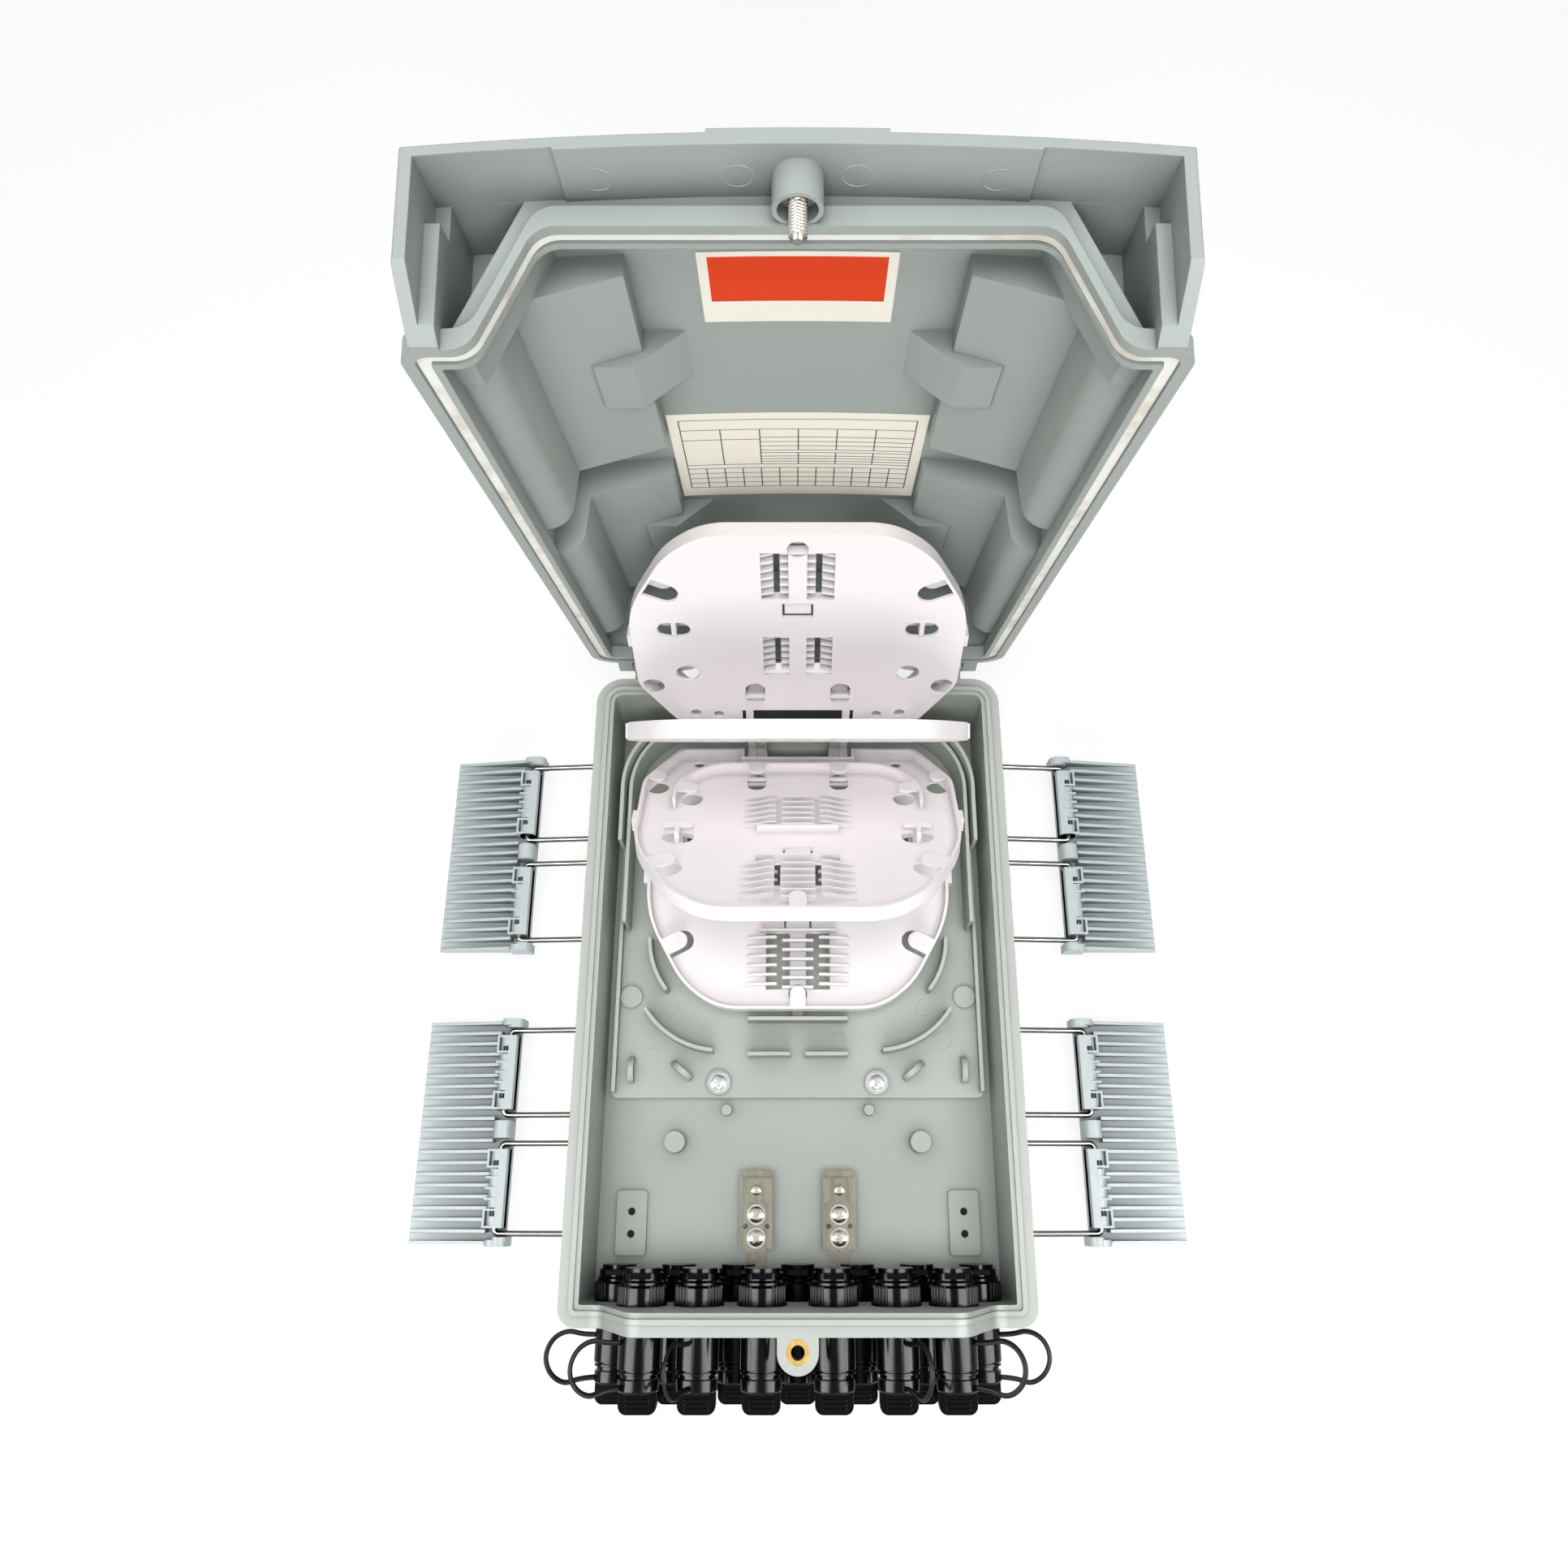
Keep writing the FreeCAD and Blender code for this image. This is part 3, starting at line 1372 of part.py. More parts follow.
def adapters():
    outside = wall_near_y
    inside = inner_near_y
    flange_y = outside - size.seal_thick
    barrel_y = flange_y - size.collar_thick
    neck_y = barrel_y - size.barrel_length
    end_y = neck_y - size.neck_length
    stub_y = inside + size.nut_length + size.thread_stand
    ring_in = neck_y - size.neck_ring_gap
    ring_out = ring_in - size.neck_ring_thick
    body = turned(
        [
            (0, end_y),
            (size.neck_radius, end_y),
            (size.neck_radius, ring_out),
            (size.neck_ring, ring_out),
            (size.neck_ring, ring_in),
            (size.neck_radius, ring_in),
            (size.neck_radius, neck_y),
            (size.barrel_radius, neck_y),
            (size.barrel_radius, barrel_y),
            (size.collar_radius, barrel_y),
            (size.collar_radius, flange_y),
            (size.thread_radius, flange_y),
            (size.thread_radius, stub_y),
            (0, stub_y),
        ]
    )
    bore = size.thread_radius + size.seal_fit
    seal = cut(
        rod(ALONG, size.collar_radius - size.seal_inset, flange_y, outside, 0, 0),
        rod(ALONG, bore, flange_y - 1, outside + 1, 0, 0),
    )
    nut_end = inside + size.nut_length
    grip_end = inside + size.nut_grip
    shoulder_end = grip_end + size.nut_shoulder_length
    nut = turned(
        [
            (bore, inside),
            (size.nut_radius, inside),
            (size.nut_radius, grip_end - 1),
            (size.nut_radius - 1, grip_end),
            (size.nut_shoulder, grip_end),
            (size.nut_shoulder, shoulder_end - 1),
            (size.nut_neck, shoulder_end),
            (size.nut_neck, nut_end),
            (bore, nut_end),
        ]
    )
    groove = rod(ALONG, size.knurl_radius, inside + 1, grip_end + 1, size.nut_radius, 0)
    grooves = []
    for middle in KNURL_MIDDLES:
        for step in KNURL_STEPS:
            grooves.append(copy_at(groove, 0, 0, 0, ALONG, middle + size.knurl_step * step))
    half = size.nut_tab_half
    tab = block(-half, half, nut_end - size.nut_tab_length, nut_end, size.nut_neck - 1, size.nut_tab_top)
    nut = fuse(cut(nut, *grooves), tab)
    cap_y = end_y - size.cap_gap
    skirt_y = cap_y - size.cap_skirt
    tip_y = cap_y - size.cap_length
    skirt = turned(
        [
            (0, skirt_y),
            (size.cap_radius - size.cap_chamfer, skirt_y),
            (size.cap_radius, skirt_y + size.cap_chamfer),
            (size.cap_radius, cap_y),
            (0, cap_y),
        ]
    )
    high = size.grip_thick / 2
    grip = prism(
        rectangle(-size.grip_half, size.grip_half, tip_y, skirt_y + 1, size.grip_round, 0), UP, -high, high
    )
    ridges = []
    half = size.ridge_half
    high = high + size.ridge_rise
    for step in range(RIDGE_COUNT):
        y = tip_y + size.ridge_start + size.ridge_step * step
        ridges.append(block(-half, half, y, y + size.ridge_thick, -high, high))
    cap = fuse(skirt, grip, *ridges)
    number = 0
    seals = []
    nuts = []
    for row, spots in zip(("lower", "upper"), adapter_spots()):
        bodies = []
        for x, z in spots:
            number += 1
            bodies.append(copy_at(body, x, 0, z))
            seals.append(copy_at(seal, x, 0, z))
            nuts.append(copy_at(nut, x, 0, z))
            node("dust_cap_%02d" % number, copy_at(cap, x, 0, z))
        node("adapter_bodies_" + row, group(*bodies))
    node("adapter_nuts", group(*nuts))
    node("adapter_seals", group(*seals))


# Rubber tethers that keep the caps: each loop's points are (outward from the collar, away from the axis)
TETHER_LOOP = [
    (8, 0.15),
    (8, 6),
    (6, 13.5),
    (9.5, 21),
    (17.5, 24.5),
    (25.5, 21.5),
    (30, 14),
    (27.2, 6.5),
    (26.9, -0.4),
]
# Adapter number and the direction of its loop, in degrees from +X
TETHER_TURNS = {1: 178, 7: 2, 8: 150, 13: 30, 9: 112, 12: 68}
RUN_SHARE = 0.45


def tether_wire(points):
    """Straight runs joined by tangent arcs, as large as the runs allow."""
    edges = []
    start = points[0]
    radii = []
    for before, corner, after in zip(points, points[1:], points[2:]):
        shorter = min((before - corner).Length, (after - corner).Length)
        half_turn = (corner - before).getAngle(after - corner) / 2
        radius = RUN_SHARE * shorter / math.tan(half_turn)
        radii.append(radius)
        first, last, centre, _ = corner_arc(before, corner, after, radius)
        middle = centre + (corner - centre).normalize() * radius
        edges.append(Part.LineSegment(start, first).toShape())
        edges.append(Part.Arc(first, middle, last).toShape())
        start = last
    edges.append(Part.LineSegment(start, points[-1]).toShape())
    return Part.Wire(edges), min(radii)


def cap_tethers():
    lower, upper = adapter_spots()
    spots = lower + upper
    collar_y = (wall_near_y - size.seal_thick - size.collar_thick).number
    barrel = size.barrel_radius.number
    across = size.tether_width.number / 2
    thick = size.tether_thick.number / 2
    for count, (number, turn) in enumerate(TETHER_TURNS.items(), start=1):
        x, z = (value.number for value in spots[number - 1])
        way = FreeCAD.Vector(math.cos(math.radians(turn)), 0, math.sin(math.radians(turn)))
        side = way.cross(ALONG) * across
        centre = FreeCAD.Vector(x, collar_y, z)
        route = [centre - ALONG * along + way * (barrel + out) for along, out in TETHER_LOOP]
        path, tightest = tether_wire(route)
        front = route[0] + ALONG * thick
        back = route[0] - ALONG * thick
        strap = Part.makePolygon([front + side, front - side, back - side, back + side, front + side])
        tube = path.makePipeShell([strap], True, False)
        item = doc.addObject("Part::Feature", "Tether")
        item.Shape = tube
        node("cap_tether_%d" % count, item)
        section = 4 * across * thick
        share = tube.Volume / (section * path.Length)
        print("tether %d: %.1f mm, tightest bend %.1f, fill %.3f" % (count, path.Length, tightest, share))


base_shell()
lid_shell()
lock_insert()
latch_pieces()
splice_trays()
tray_tower()
carrier_plate()
cable_clamps()
adapters()
cap_tethers()
doc.recompute()

for item in doc.Objects:
    if "Invalid" in item.State or "Error" in item.State:
        raise RuntimeError("%s did not build: %s" % (item.Label, item.State))
for label, item in nodes.items():
    if item.Shape.isNull() or not item.Shape.isValid() or not item.Shape.Solids:
        raise RuntimeError("%s has no valid solid" % label)
for label, item in nodes.items():
    item.Shape.exportStep("parts/%s.step" % label)
print("%d pieces, %d solids" % (len(nodes), sum(len(item.Shape.Solids) for item in nodes.values())))
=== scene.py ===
# %% [markdown]
# # A fibre splice box, dressed in Blender
# The box lies on its back with its lid swung open. The shells, trays and levers keep the shapes that
# come with the frame and get their finishes here. What a close look rewards is modelled: the straps,
# the screws, the wire bails, the lid's hollows, the levers' rails, the carrier's wings and the pin marks.
# The two cards inside the lid get their print from nodes.

# %% Load the frame
import json
import math

import bpy
from mathutils import Matrix, Vector


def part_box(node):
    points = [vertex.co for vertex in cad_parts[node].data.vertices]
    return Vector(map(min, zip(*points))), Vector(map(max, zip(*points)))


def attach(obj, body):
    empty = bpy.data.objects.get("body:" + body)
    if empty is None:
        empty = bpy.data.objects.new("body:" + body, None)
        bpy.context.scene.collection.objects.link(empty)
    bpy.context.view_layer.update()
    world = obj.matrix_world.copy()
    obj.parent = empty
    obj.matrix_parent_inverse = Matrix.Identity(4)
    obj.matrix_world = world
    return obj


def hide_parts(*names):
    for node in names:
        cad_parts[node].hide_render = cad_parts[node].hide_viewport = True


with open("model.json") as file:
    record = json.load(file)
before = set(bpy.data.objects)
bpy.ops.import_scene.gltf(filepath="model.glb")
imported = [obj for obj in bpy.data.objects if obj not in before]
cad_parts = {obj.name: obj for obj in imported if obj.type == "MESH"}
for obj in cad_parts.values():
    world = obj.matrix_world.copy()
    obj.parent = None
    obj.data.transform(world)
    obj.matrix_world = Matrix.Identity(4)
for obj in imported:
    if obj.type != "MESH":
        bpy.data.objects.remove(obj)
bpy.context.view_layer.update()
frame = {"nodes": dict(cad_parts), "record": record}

MM = 0.001
MERGE_GAP = 1e-6

# %% [markdown]
# ## Camera
# The photograph looks down from above the adapter end. A camera that points straight down and is then
# tipped a little towards the hinge gives the same picture. The small shift puts the box where the
# photograph has it in its square frame.

# %% Place the camera
FRAME_SIDE = 1932
FOCAL_PIXELS = 1430
PRINCIPAL_POINT = (983, 933)
SENSOR = 36.0
CAMERA_SPOT = (0.0, -0.108, 0.6617)
CAMERA_TILT = math.radians(20.5)
CLIP_START = 0.01

bpy.ops.object.select_all(action="DESELECT")
bpy.ops.object.camera_add(location=CAMERA_SPOT, rotation=(CAMERA_TILT, 0.0, 0.0))
camera = bpy.context.object
camera.data.sensor_width = SENSOR
camera.data.lens = FOCAL_PIXELS / FRAME_SIDE * SENSOR
camera.data.shift_x = (FRAME_SIDE / 2 - PRINCIPAL_POINT[0]) / FRAME_SIDE
camera.data.shift_y = (PRINCIPAL_POINT[1] - FRAME_SIDE / 2) / FRAME_SIDE
camera.data.clip_start = CLIP_START
bpy.context.scene.camera = camera
print("camera: lens %.2f mm" % camera.data.lens)

# %% [markdown]
# ## Helpers for shaping by hand
# Every operator works on what is selected, so each step starts by clearing the selection. A turned piece
# is a line that is extruded point by point and spun. A copy gets its own mesh, and its place is applied to
# that mesh, because every finished piece stays at the origin. Lid pieces are shaped with the lid shut, where
# their sizes are plain, and then swung open.

# %% Selection and finishing helpers
def clear_selection():
    if bpy.context.object and bpy.context.object.mode != "OBJECT":
        bpy.ops.object.mode_set(mode="OBJECT")
    bpy.ops.object.select_all(action="DESELECT")


def make_active(piece):
    clear_selection()
    piece.select_set(True)
    bpy.context.view_layer.objects.active = piece


def edit_all(piece):
    make_active(piece)
    bpy.ops.object.mode_set(mode="EDIT")
    bpy.ops.mesh.select_all(action="SELECT")


def leave_edit():
    bpy.ops.object.mode_set(mode="OBJECT")


def smooth(piece, degrees=35):
    make_active(piece)
    bpy.ops.object.shade_smooth_by_angle(angle=math.radians(degrees))


def start_line(name, spot):
    """A single point in edit mode, for a line that is drawn by extruding it."""
    clear_selection()
    bpy.ops.mesh.primitive_plane_add(size=MM)
    piece = bpy.context.object
    piece.name = name
    edit_all(piece)
    bpy.ops.mesh.merge(type="CENTER")
    bpy.ops.transform.translate(value=spot)
    return piece


def extrude_by(move):
    bpy.ops.mesh.extrude_region_move(TRANSFORM_OT_translate={"value": move})


def turned(name, profile, steps):
    """A turned solid: a line of (radius, height) points, drawn by extruding and spun about Z."""
    piece = start_line(name, (profile[0][0], 0.0, profile[0][1]))
    for (radius, height), (next_radius, next_height) in zip(profile, profile[1:]):
        extrude_by((next_radius - radius, 0.0, next_height - height))
    bpy.ops.mesh.select_all(action="SELECT")
    bpy.ops.mesh.spin(steps=steps, angle=2 * math.pi, center=(0, 0, 0), axis=(0, 0, 1))
    bpy.ops.mesh.select_all(action="SELECT")
    bpy.ops.mesh.remove_doubles(threshold=MERGE_GAP)
    bpy.ops.mesh.normals_make_consistent(inside=False)
    leave_edit()
    return piece


def copy_to(source, name, spot, turn=(0.0, 0.0, 0.0)):
    """A copy with its own mesh, its place and turn applied to the mesh."""
    make_active(source)
    bpy.ops.object.duplicate(linked=False)
    piece = bpy.context.object
    piece.name = name
    piece.rotation_euler = turn
    piece.location = spot
    bpy.ops.object.transform_apply(location=True, rotation=True, scale=True)
    return piece


def join(pieces, name):
    clear_selection()
    for piece in pieces:
        piece.select_set(True)
    bpy.context.view_layer.objects.active = pieces[0]
    if len(pieces) > 1:
        bpy.ops.object.join()
    pieces[0].name = name
    return pieces[0]


def discard(piece):
    make_active(piece)
    bpy.ops.object.delete()


def seat(piece, body, slot, *nodes):
    """Ride a finished piece on its body and let it stand for its CAD nodes."""
    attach(piece, body)
    if nodes:
        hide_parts(*nodes)


def middle(node):
    low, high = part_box(node)
    return (low + high) / 2


LID_OPEN = math.radians(80)
LID_HINGE = Vector((0.0, 0.178, 0.053))


def swing_with_lid(piece):
    """Turn a piece that was modelled with the lid shut to the open lid's place."""
    make_active(piece)
    turn = Matrix.Rotation(-LID_OPEN, 4, "X")
    swing = Matrix.Translation(LID_HINGE) @ turn @ Matrix.Translation(-LID_HINGE)
    piece.matrix_world = swing @ piece.matrix_world
    bpy.ops.object.transform_apply(location=True, rotation=True, scale=True)


def carve(piece, cutter, operation="DIFFERENCE"):
    """Cut one piece with another, or join them, and throw the other away."""
    make_active(piece)
    cutting = piece.modifiers.new("carve", "BOOLEAN")
    cutting.operation = operation
    cutting.solver = "EXACT"
    cutting.object = cutter
    bpy.ops.object.modifier_apply(modifier=cutting.name)
    discard(cutter)


def face_outwards(piece):
    edit_all(piece)
    bpy.ops.mesh.normals_make_consistent(inside=False)
    leave_edit()


def bar(name, size, spot):
    """A plain block of a given size, centred on a spot."""
    clear_selection()
    bpy.ops.mesh.primitive_cube_add(size=1.0, location=spot, scale=size)
    piece = bpy.context.object
    piece.name = name
    bpy.ops.object.transform_apply(location=True, rotation=True, scale=True)
    return piece


print("lid: open by %.0f degrees" % math.degrees(LID_OPEN))

# %% [markdown]
# ## Shared finish: moulded grain
# Moulded plastic is never quite even: the tool leaves a fine grain, the gloss drifts a little over a
# panel and the colour is a touch cloudy. One node group makes these three signals from noise. It also
# paints shade into the colour: an Ambient Occlusion node that sees only the piece itself darkens its
# hollows and corners as painted shade. Each plastic scales them to its own need.

# %% Node group for moulded grain and painted shade
CLOUD_SCALE = 22.0
GRAIN_SCALE = 2600.0
PAINTED_SHADE_SAMPLES = 6
GLOSS_DRIFT = 0.12


def group_socket(group, name, way, kind):
    group.interface.new_socket(name=name, in_out=way, socket_type=kind)


def grain_and_painted_shade():
    group = bpy.data.node_groups.new("grain_and_painted_shade", "ShaderNodeTree")
    group_socket(group, "Color", "INPUT", "NodeSocketColor")
    for name in ("Cloud", "Roughness", "Painted Shade", "Painted Shade Reach"):
        group_socket(group, name, "INPUT", "NodeSocketFloat")
    group_socket(group, "Color", "OUTPUT", "NodeSocketColor")
    group_socket(group, "Roughness", "OUTPUT", "NodeSocketFloat")
    group_socket(group, "Height", "OUTPUT", "NodeSocketFloat")
    nodes, links = group.nodes, group.links
    given = nodes.new("NodeGroupInput")
    result = nodes.new("NodeGroupOutput")
    coords = nodes.new("ShaderNodeTexCoord")
    cloud = nodes.new("ShaderNodeTexNoise")
    cloud.inputs["Scale"].default_value = CLOUD_SCALE
    cloud.inputs["Detail"].default_value = 3.0
    grain = nodes.new("ShaderNodeTexNoise")
    grain.inputs["Scale"].default_value = GRAIN_SCALE
    grain.inputs["Detail"].default_value = 2.0
    links.new(coords.outputs["Object"], cloud.inputs["Vector"])
    links.new(coords.outputs["Object"], grain.inputs["Vector"])

    centred = nodes.new("ShaderNodeMath")
    centred.operation = "SUBTRACT"
    centred.inputs[1].default_value = 0.5
    links.new(cloud.outputs["Fac"], centred.inputs[0])
    drift = nodes.new("ShaderNodeMath")
    drift.operation = "MULTIPLY_ADD"
    drift.inputs[2].default_value = 1.0
    links.new(centred.outputs[0], drift.inputs[0])
    links.new(given.outputs["Cloud"], drift.inputs[1])
    # Painted shade: ambient occlusion darkens the colour in the piece's hollows and corners.
    painted_shade = nodes.new("ShaderNodeAmbientOcclusion")
    painted_shade.samples = PAINTED_SHADE_SAMPLES
    painted_shade.only_local = True
    links.new(given.outputs["Painted Shade Reach"], painted_shade.inputs["Distance"])
    shade = nodes.new("ShaderNodeMix")
    links.new(given.outputs["Painted Shade"], shade.inputs[0])
    links.new(painted_shade.outputs["AO"], shade.inputs[3])
    shade.inputs[2].default_value = 1.0
    shaded = nodes.new("ShaderNodeMath")
    shaded.operation = "MULTIPLY"
    links.new(drift.outputs[0], shaded.inputs[0])
    links.new(shade.outputs[0], shaded.inputs[1])
    tint = nodes.new("ShaderNodeVectorMath")
    tint.operation = "SCALE"
    links.new(given.outputs["Color"], tint.inputs[0])
    links.new(shaded.outputs[0], tint.inputs["Scale"])
    links.new(tint.outputs[0], result.inputs["Color"])

    gloss = nodes.new("ShaderNodeMath")
    gloss.operation = "MULTIPLY_ADD"
    gloss.inputs[1].default_value = GLOSS_DRIFT
    links.new(centred.outputs[0], gloss.inputs[0])
    links.new(given.outputs["Roughness"], gloss.inputs[2])
    links.new(gloss.outputs[0], result.inputs["Roughness"])
    links.new(grain.outputs["Fac"], result.inputs["Height"])
    return group


GRAIN_AND_PAINTED_SHADE = grain_and_painted_shade()
print("node group:", GRAIN_AND_PAINTED_SHADE.name)

# %% [markdown]
# ## The plastics
# The shells, latches and trays differ in colour and gloss, so one function makes them all. A Bevel node
# softens the look of every moulded edge by a fraction of a millimetre, which catches the light as the
# real edges do. Edge and reach are millimetres: how far an edge is softened and how far the painted
# shade in a hollow reaches; a share sets how dark that painted shade is.

# %% Moulded plastic finishes
GRAIN_DEPTH = 0.3 * MM
BEVEL_SAMPLES = 4


def new_material(name):
    material = bpy.data.materials.new(name)
    material.use_nodes = True
    nodes = material.node_tree.nodes
    return material, nodes, material.node_tree.links, nodes["Principled BSDF"]


def moulded_plastic(
    name, color, roughness, cloud=0.05, edge=0.5, grain=0.04, gloss=0.25, painted_shade=0.5, reach=8.0
):
    material, nodes, links, shader = new_material(name)
    shader.inputs["Specular IOR Level"].default_value = gloss
    skin = nodes.new("ShaderNodeGroup")
    skin.node_tree = GRAIN_AND_PAINTED_SHADE
    skin.inputs["Color"].default_value = (*color, 1.0)
    skin.inputs["Cloud"].default_value = cloud
    skin.inputs["Roughness"].default_value = roughness
    skin.inputs["Painted Shade"].default_value = painted_shade
    skin.inputs["Painted Shade Reach"].default_value = reach * MM
    soft_edge = nodes.new("ShaderNodeBevel")
    soft_edge.samples = BEVEL_SAMPLES
    soft_edge.inputs["Radius"].default_value = edge * MM
    bump = nodes.new("ShaderNodeBump")
    bump.inputs["Strength"].default_value = grain
    bump.inputs["Distance"].default_value = GRAIN_DEPTH
    links.new(skin.outputs["Height"], bump.inputs["Height"])
    links.new(soft_edge.outputs["Normal"], bump.inputs["Normal"])
    links.new(skin.outputs["Color"], shader.inputs["Base Color"])
    links.new(skin.outputs["Roughness"], shader.inputs["Roughness"])
    links.new(bump.outputs["Normal"], shader.inputs["Normal"])
    return material


# Every plastic has painted shade in its hollows; the shell's reaches furthest, darkening the gap beside the
# carrier.
SHELL_GREY = moulded_plastic("shell_grey", (0.48, 0.515, 0.475), 0.42, painted_shade=0.75, reach=34.0)
LID_GREY = moulded_plastic("lid_grey", (0.365, 0.398, 0.377), 0.40, painted_shade=0.7, reach=16.0)
LATCH_GREY = moulded_plastic("latch_grey", (0.50, 0.56, 0.57), 0.40, edge=0.3, painted_shade=0.7, reach=8.0)
TRAY_WHITE = moulded_plastic("tray_white", (0.91, 0.87, 0.875), 0.38, cloud=0.03, edge=0.3, reach=5.0)
BLACK_PLASTIC = moulded_plastic(
    "black_plastic", (0.002, 0.002, 0.003), 0.15, edge=0.3, grain=0.02, gloss=0.08
)
BLACK_RUBBER = moulded_plastic(
    "black_rubber", (0.005, 0.005, 0.005), 0.45, edge=0.2, grain=0.1, gloss=0.15
)
PLASTICS = (SHELL_GREY, LID_GREY, LATCH_GREY, TRAY_WHITE, BLACK_PLASTIC, BLACK_RUBBER)
print("plastics:", ", ".join(finish.name for finish in PLASTICS))

# %% [markdown]
# ## The metals
# Wire, sheet and screws are plated steel with a faint drawn or rolled streak. The streak is noise that is
# stretched along one axis and drives the roughness.

# %% Plated metal finishes
STREAK_SCALE = 400.0
STREAK_DARK = 0.82
SMOOTHER = 0.08
ROUGHER = 0.12
EVEN = (1.0, 1.0, 1.0)
ALONG_X = (0.1, 1.0, 1.0)
ALONG_Y = (1.0, 0.06, 1.0)


def plated_metal(name, color, roughness, stretch):
    material, nodes, links, shader = new_material(name)
    shader.inputs["Metallic"].default_value = 1.0
    coords = nodes.new("ShaderNodeTexCoord")
    mapping = nodes.new("ShaderNodeMapping")
    mapping.inputs["Scale"].default_value = stretch
    streak = nodes.new("ShaderNodeTexNoise")
    streak.inputs["Scale"].default_value = STREAK_SCALE
    streak.inputs["Detail"].default_value = 4.0
    ramp = nodes.new("ShaderNodeMapRange")
    ramp.inputs["To Min"].default_value = roughness - SMOOTHER
    ramp.inputs["To Max"].default_value = roughness + ROUGHER
    tone = nodes.new("ShaderNodeMix")
    tone.data_type = "RGBA"
    tone.inputs[6].default_value = (*[STREAK_DARK * part for part in color], 1.0)
    tone.inputs[7].default_value = (*color, 1.0)
    links.new(coords.outputs["Object"], mapping.inputs["Vector"])
    links.new(mapping.outputs["Vector"], streak.inputs["Vector"])
    links.new(streak.outputs["Fac"], ramp.inputs["Value"])
    links.new(streak.outputs["Fac"], tone.inputs[0])
    links.new(ramp.outputs["Result"], shader.inputs["Roughness"])
    links.new(tone.outputs[2], shader.inputs["Base Color"])
    return material


NICKEL = plated_metal("nickel", (0.52, 0.50, 0.44), 0.2, EVEN)
ZINC = plated_metal("zinc", (0.62, 0.63, 0.64), 0.2, EVEN)
WIRE_STEEL = plated_metal("wire_steel", (0.16, 0.155, 0.14), 0.2, ALONG_X)
SHEET_STEEL = plated_metal("sheet_steel", (0.2, 0.195, 0.155), 0.26, ALONG_Y)
BRASS = plated_metal("brass", (0.62, 0.43, 0.14), 0.22, EVEN)
METALS = (NICKEL, ZINC, WIRE_STEEL, SHEET_STEEL, BRASS)
print("metals:", ", ".join(finish.name for finish in METALS))

# %% [markdown]
# ## The gasket's foam
# The seal in the lid's rim is a white foam cord that has picked up a little dirt. Soft noise, cut by a colour
# ramp with close stops, leaves most of it clean and soils short stretches, which a plain tint can't do.

# %% Foam finish
SOIL_SCALE = 60.0
SOIL_FULL = 0.34
SOIL_NONE = 0.52
SOIL_COLOR = (0.74, 0.69, 0.60)
FOAM_ROUGHNESS = 0.7


def foam(name, color):
    material, nodes, links, shader = new_material(name)
    coords = nodes.new("ShaderNodeTexCoord")
    soil = nodes.new("ShaderNodeTexNoise")
    soil.inputs["Scale"].default_value = SOIL_SCALE
    soil.inputs["Detail"].default_value = 5.0
    tone = nodes.new("ShaderNodeValToRGB")
    tone.color_ramp.elements[0].position = SOIL_FULL
    tone.color_ramp.elements[0].color = (*SOIL_COLOR, 1.0)
    tone.color_ramp.elements[1].position = SOIL_NONE
    tone.color_ramp.elements[1].color = (*color, 1.0)
    links.new(coords.outputs["Object"], soil.inputs["Vector"])
    links.new(soil.outputs["Fac"], tone.inputs["Fac"])
    links.new(tone.outputs["Color"], shader.inputs["Base Color"])
    shader.inputs["Roughness"].default_value = FOAM_ROUGHNESS
    return material


GASKET_WHITE = foam("gasket_white", (0.93, 0.92, 0.87))
print("foam:", GASKET_WHITE.name)

# %% [markdown]
# ## Printed cards
# Two cards are stuck inside the lid: one with a plain band of colour, one ruled as a log sheet. A ruled table
# repeats, so the distance to its nearest line is enough to tell ink from paper. One node group rules a table
# between four edges, and the log sheet is a few such tables. Places on a card are millimetres across the
# lid and up from its hinge.

# %% Node group for a ruled table
def calc(tree, operation, *values):
    """One math node; a value may be a number or another node's output."""
    step = tree.nodes.new("ShaderNodeMath")
    step.operation = operation
    for socket, value in zip(step.inputs, values):
        if isinstance(value, (int, float)):
            socket.default_value = value
        else:
            tree.links.new(value, socket)
    return step.outputs[0]


def ruled_table():
    group = bpy.data.node_groups.new("ruled_table", "ShaderNodeTree")
    for name in ("Across", "Up", "Left", "Right", "Low", "High", "Columns", "Rows", "Line"):
        group_socket(group, name, "INPUT", "NodeSocketFloat")
    group_socket(group, "Ink", "OUTPUT", "NodeSocketFloat")
    given = group.nodes.new("NodeGroupInput").outputs
    half_line = calc(group, "MULTIPLY", given["Line"], 0.5)

    def lines(place, start, end, count):
        width = calc(group, "SUBTRACT", end, start)
        pitch = calc(group, "DIVIDE", width, count)
        cells = calc(group, "DIVIDE", calc(group, "SUBTRACT", place, start), pitch)
        distance = calc(group, "MULTIPLY", calc(group, "PINGPONG", cells, 0.5), pitch)
        reach = calc(group, "MULTIPLY_ADD", width, 0.5, half_line)
        centre = calc(group, "MULTIPLY", calc(group, "ADD", start, end), 0.5)
        return calc(group, "LESS_THAN", distance, half_line), calc(group, "COMPARE", place, centre, reach)

    upright, beside = lines(given["Across"], given["Left"], given["Right"], given["Columns"])
    level, within = lines(given["Up"], given["Low"], given["High"], given["Rows"])
    on_a_line = calc(group, "MAXIMUM", upright, level)
    ink = calc(group, "MULTIPLY", on_a_line, calc(group, "MULTIPLY", beside, within))
    group.links.new(ink, group.nodes.new("NodeGroupOutput").inputs["Ink"])
    return group


RULED_TABLE = ruled_table()
print("node group:", RULED_TABLE.name)

# %% [markdown]
# ## Paper and ink
# A card's finish starts as paper with a faint fibre. Bands of flat colour and then the ruled tables are laid
# over it, each through a mask of ones and noughts, as a press lays down one ink after another. The rows of
# the tables give left, right, low and high edges, then columns and rows.

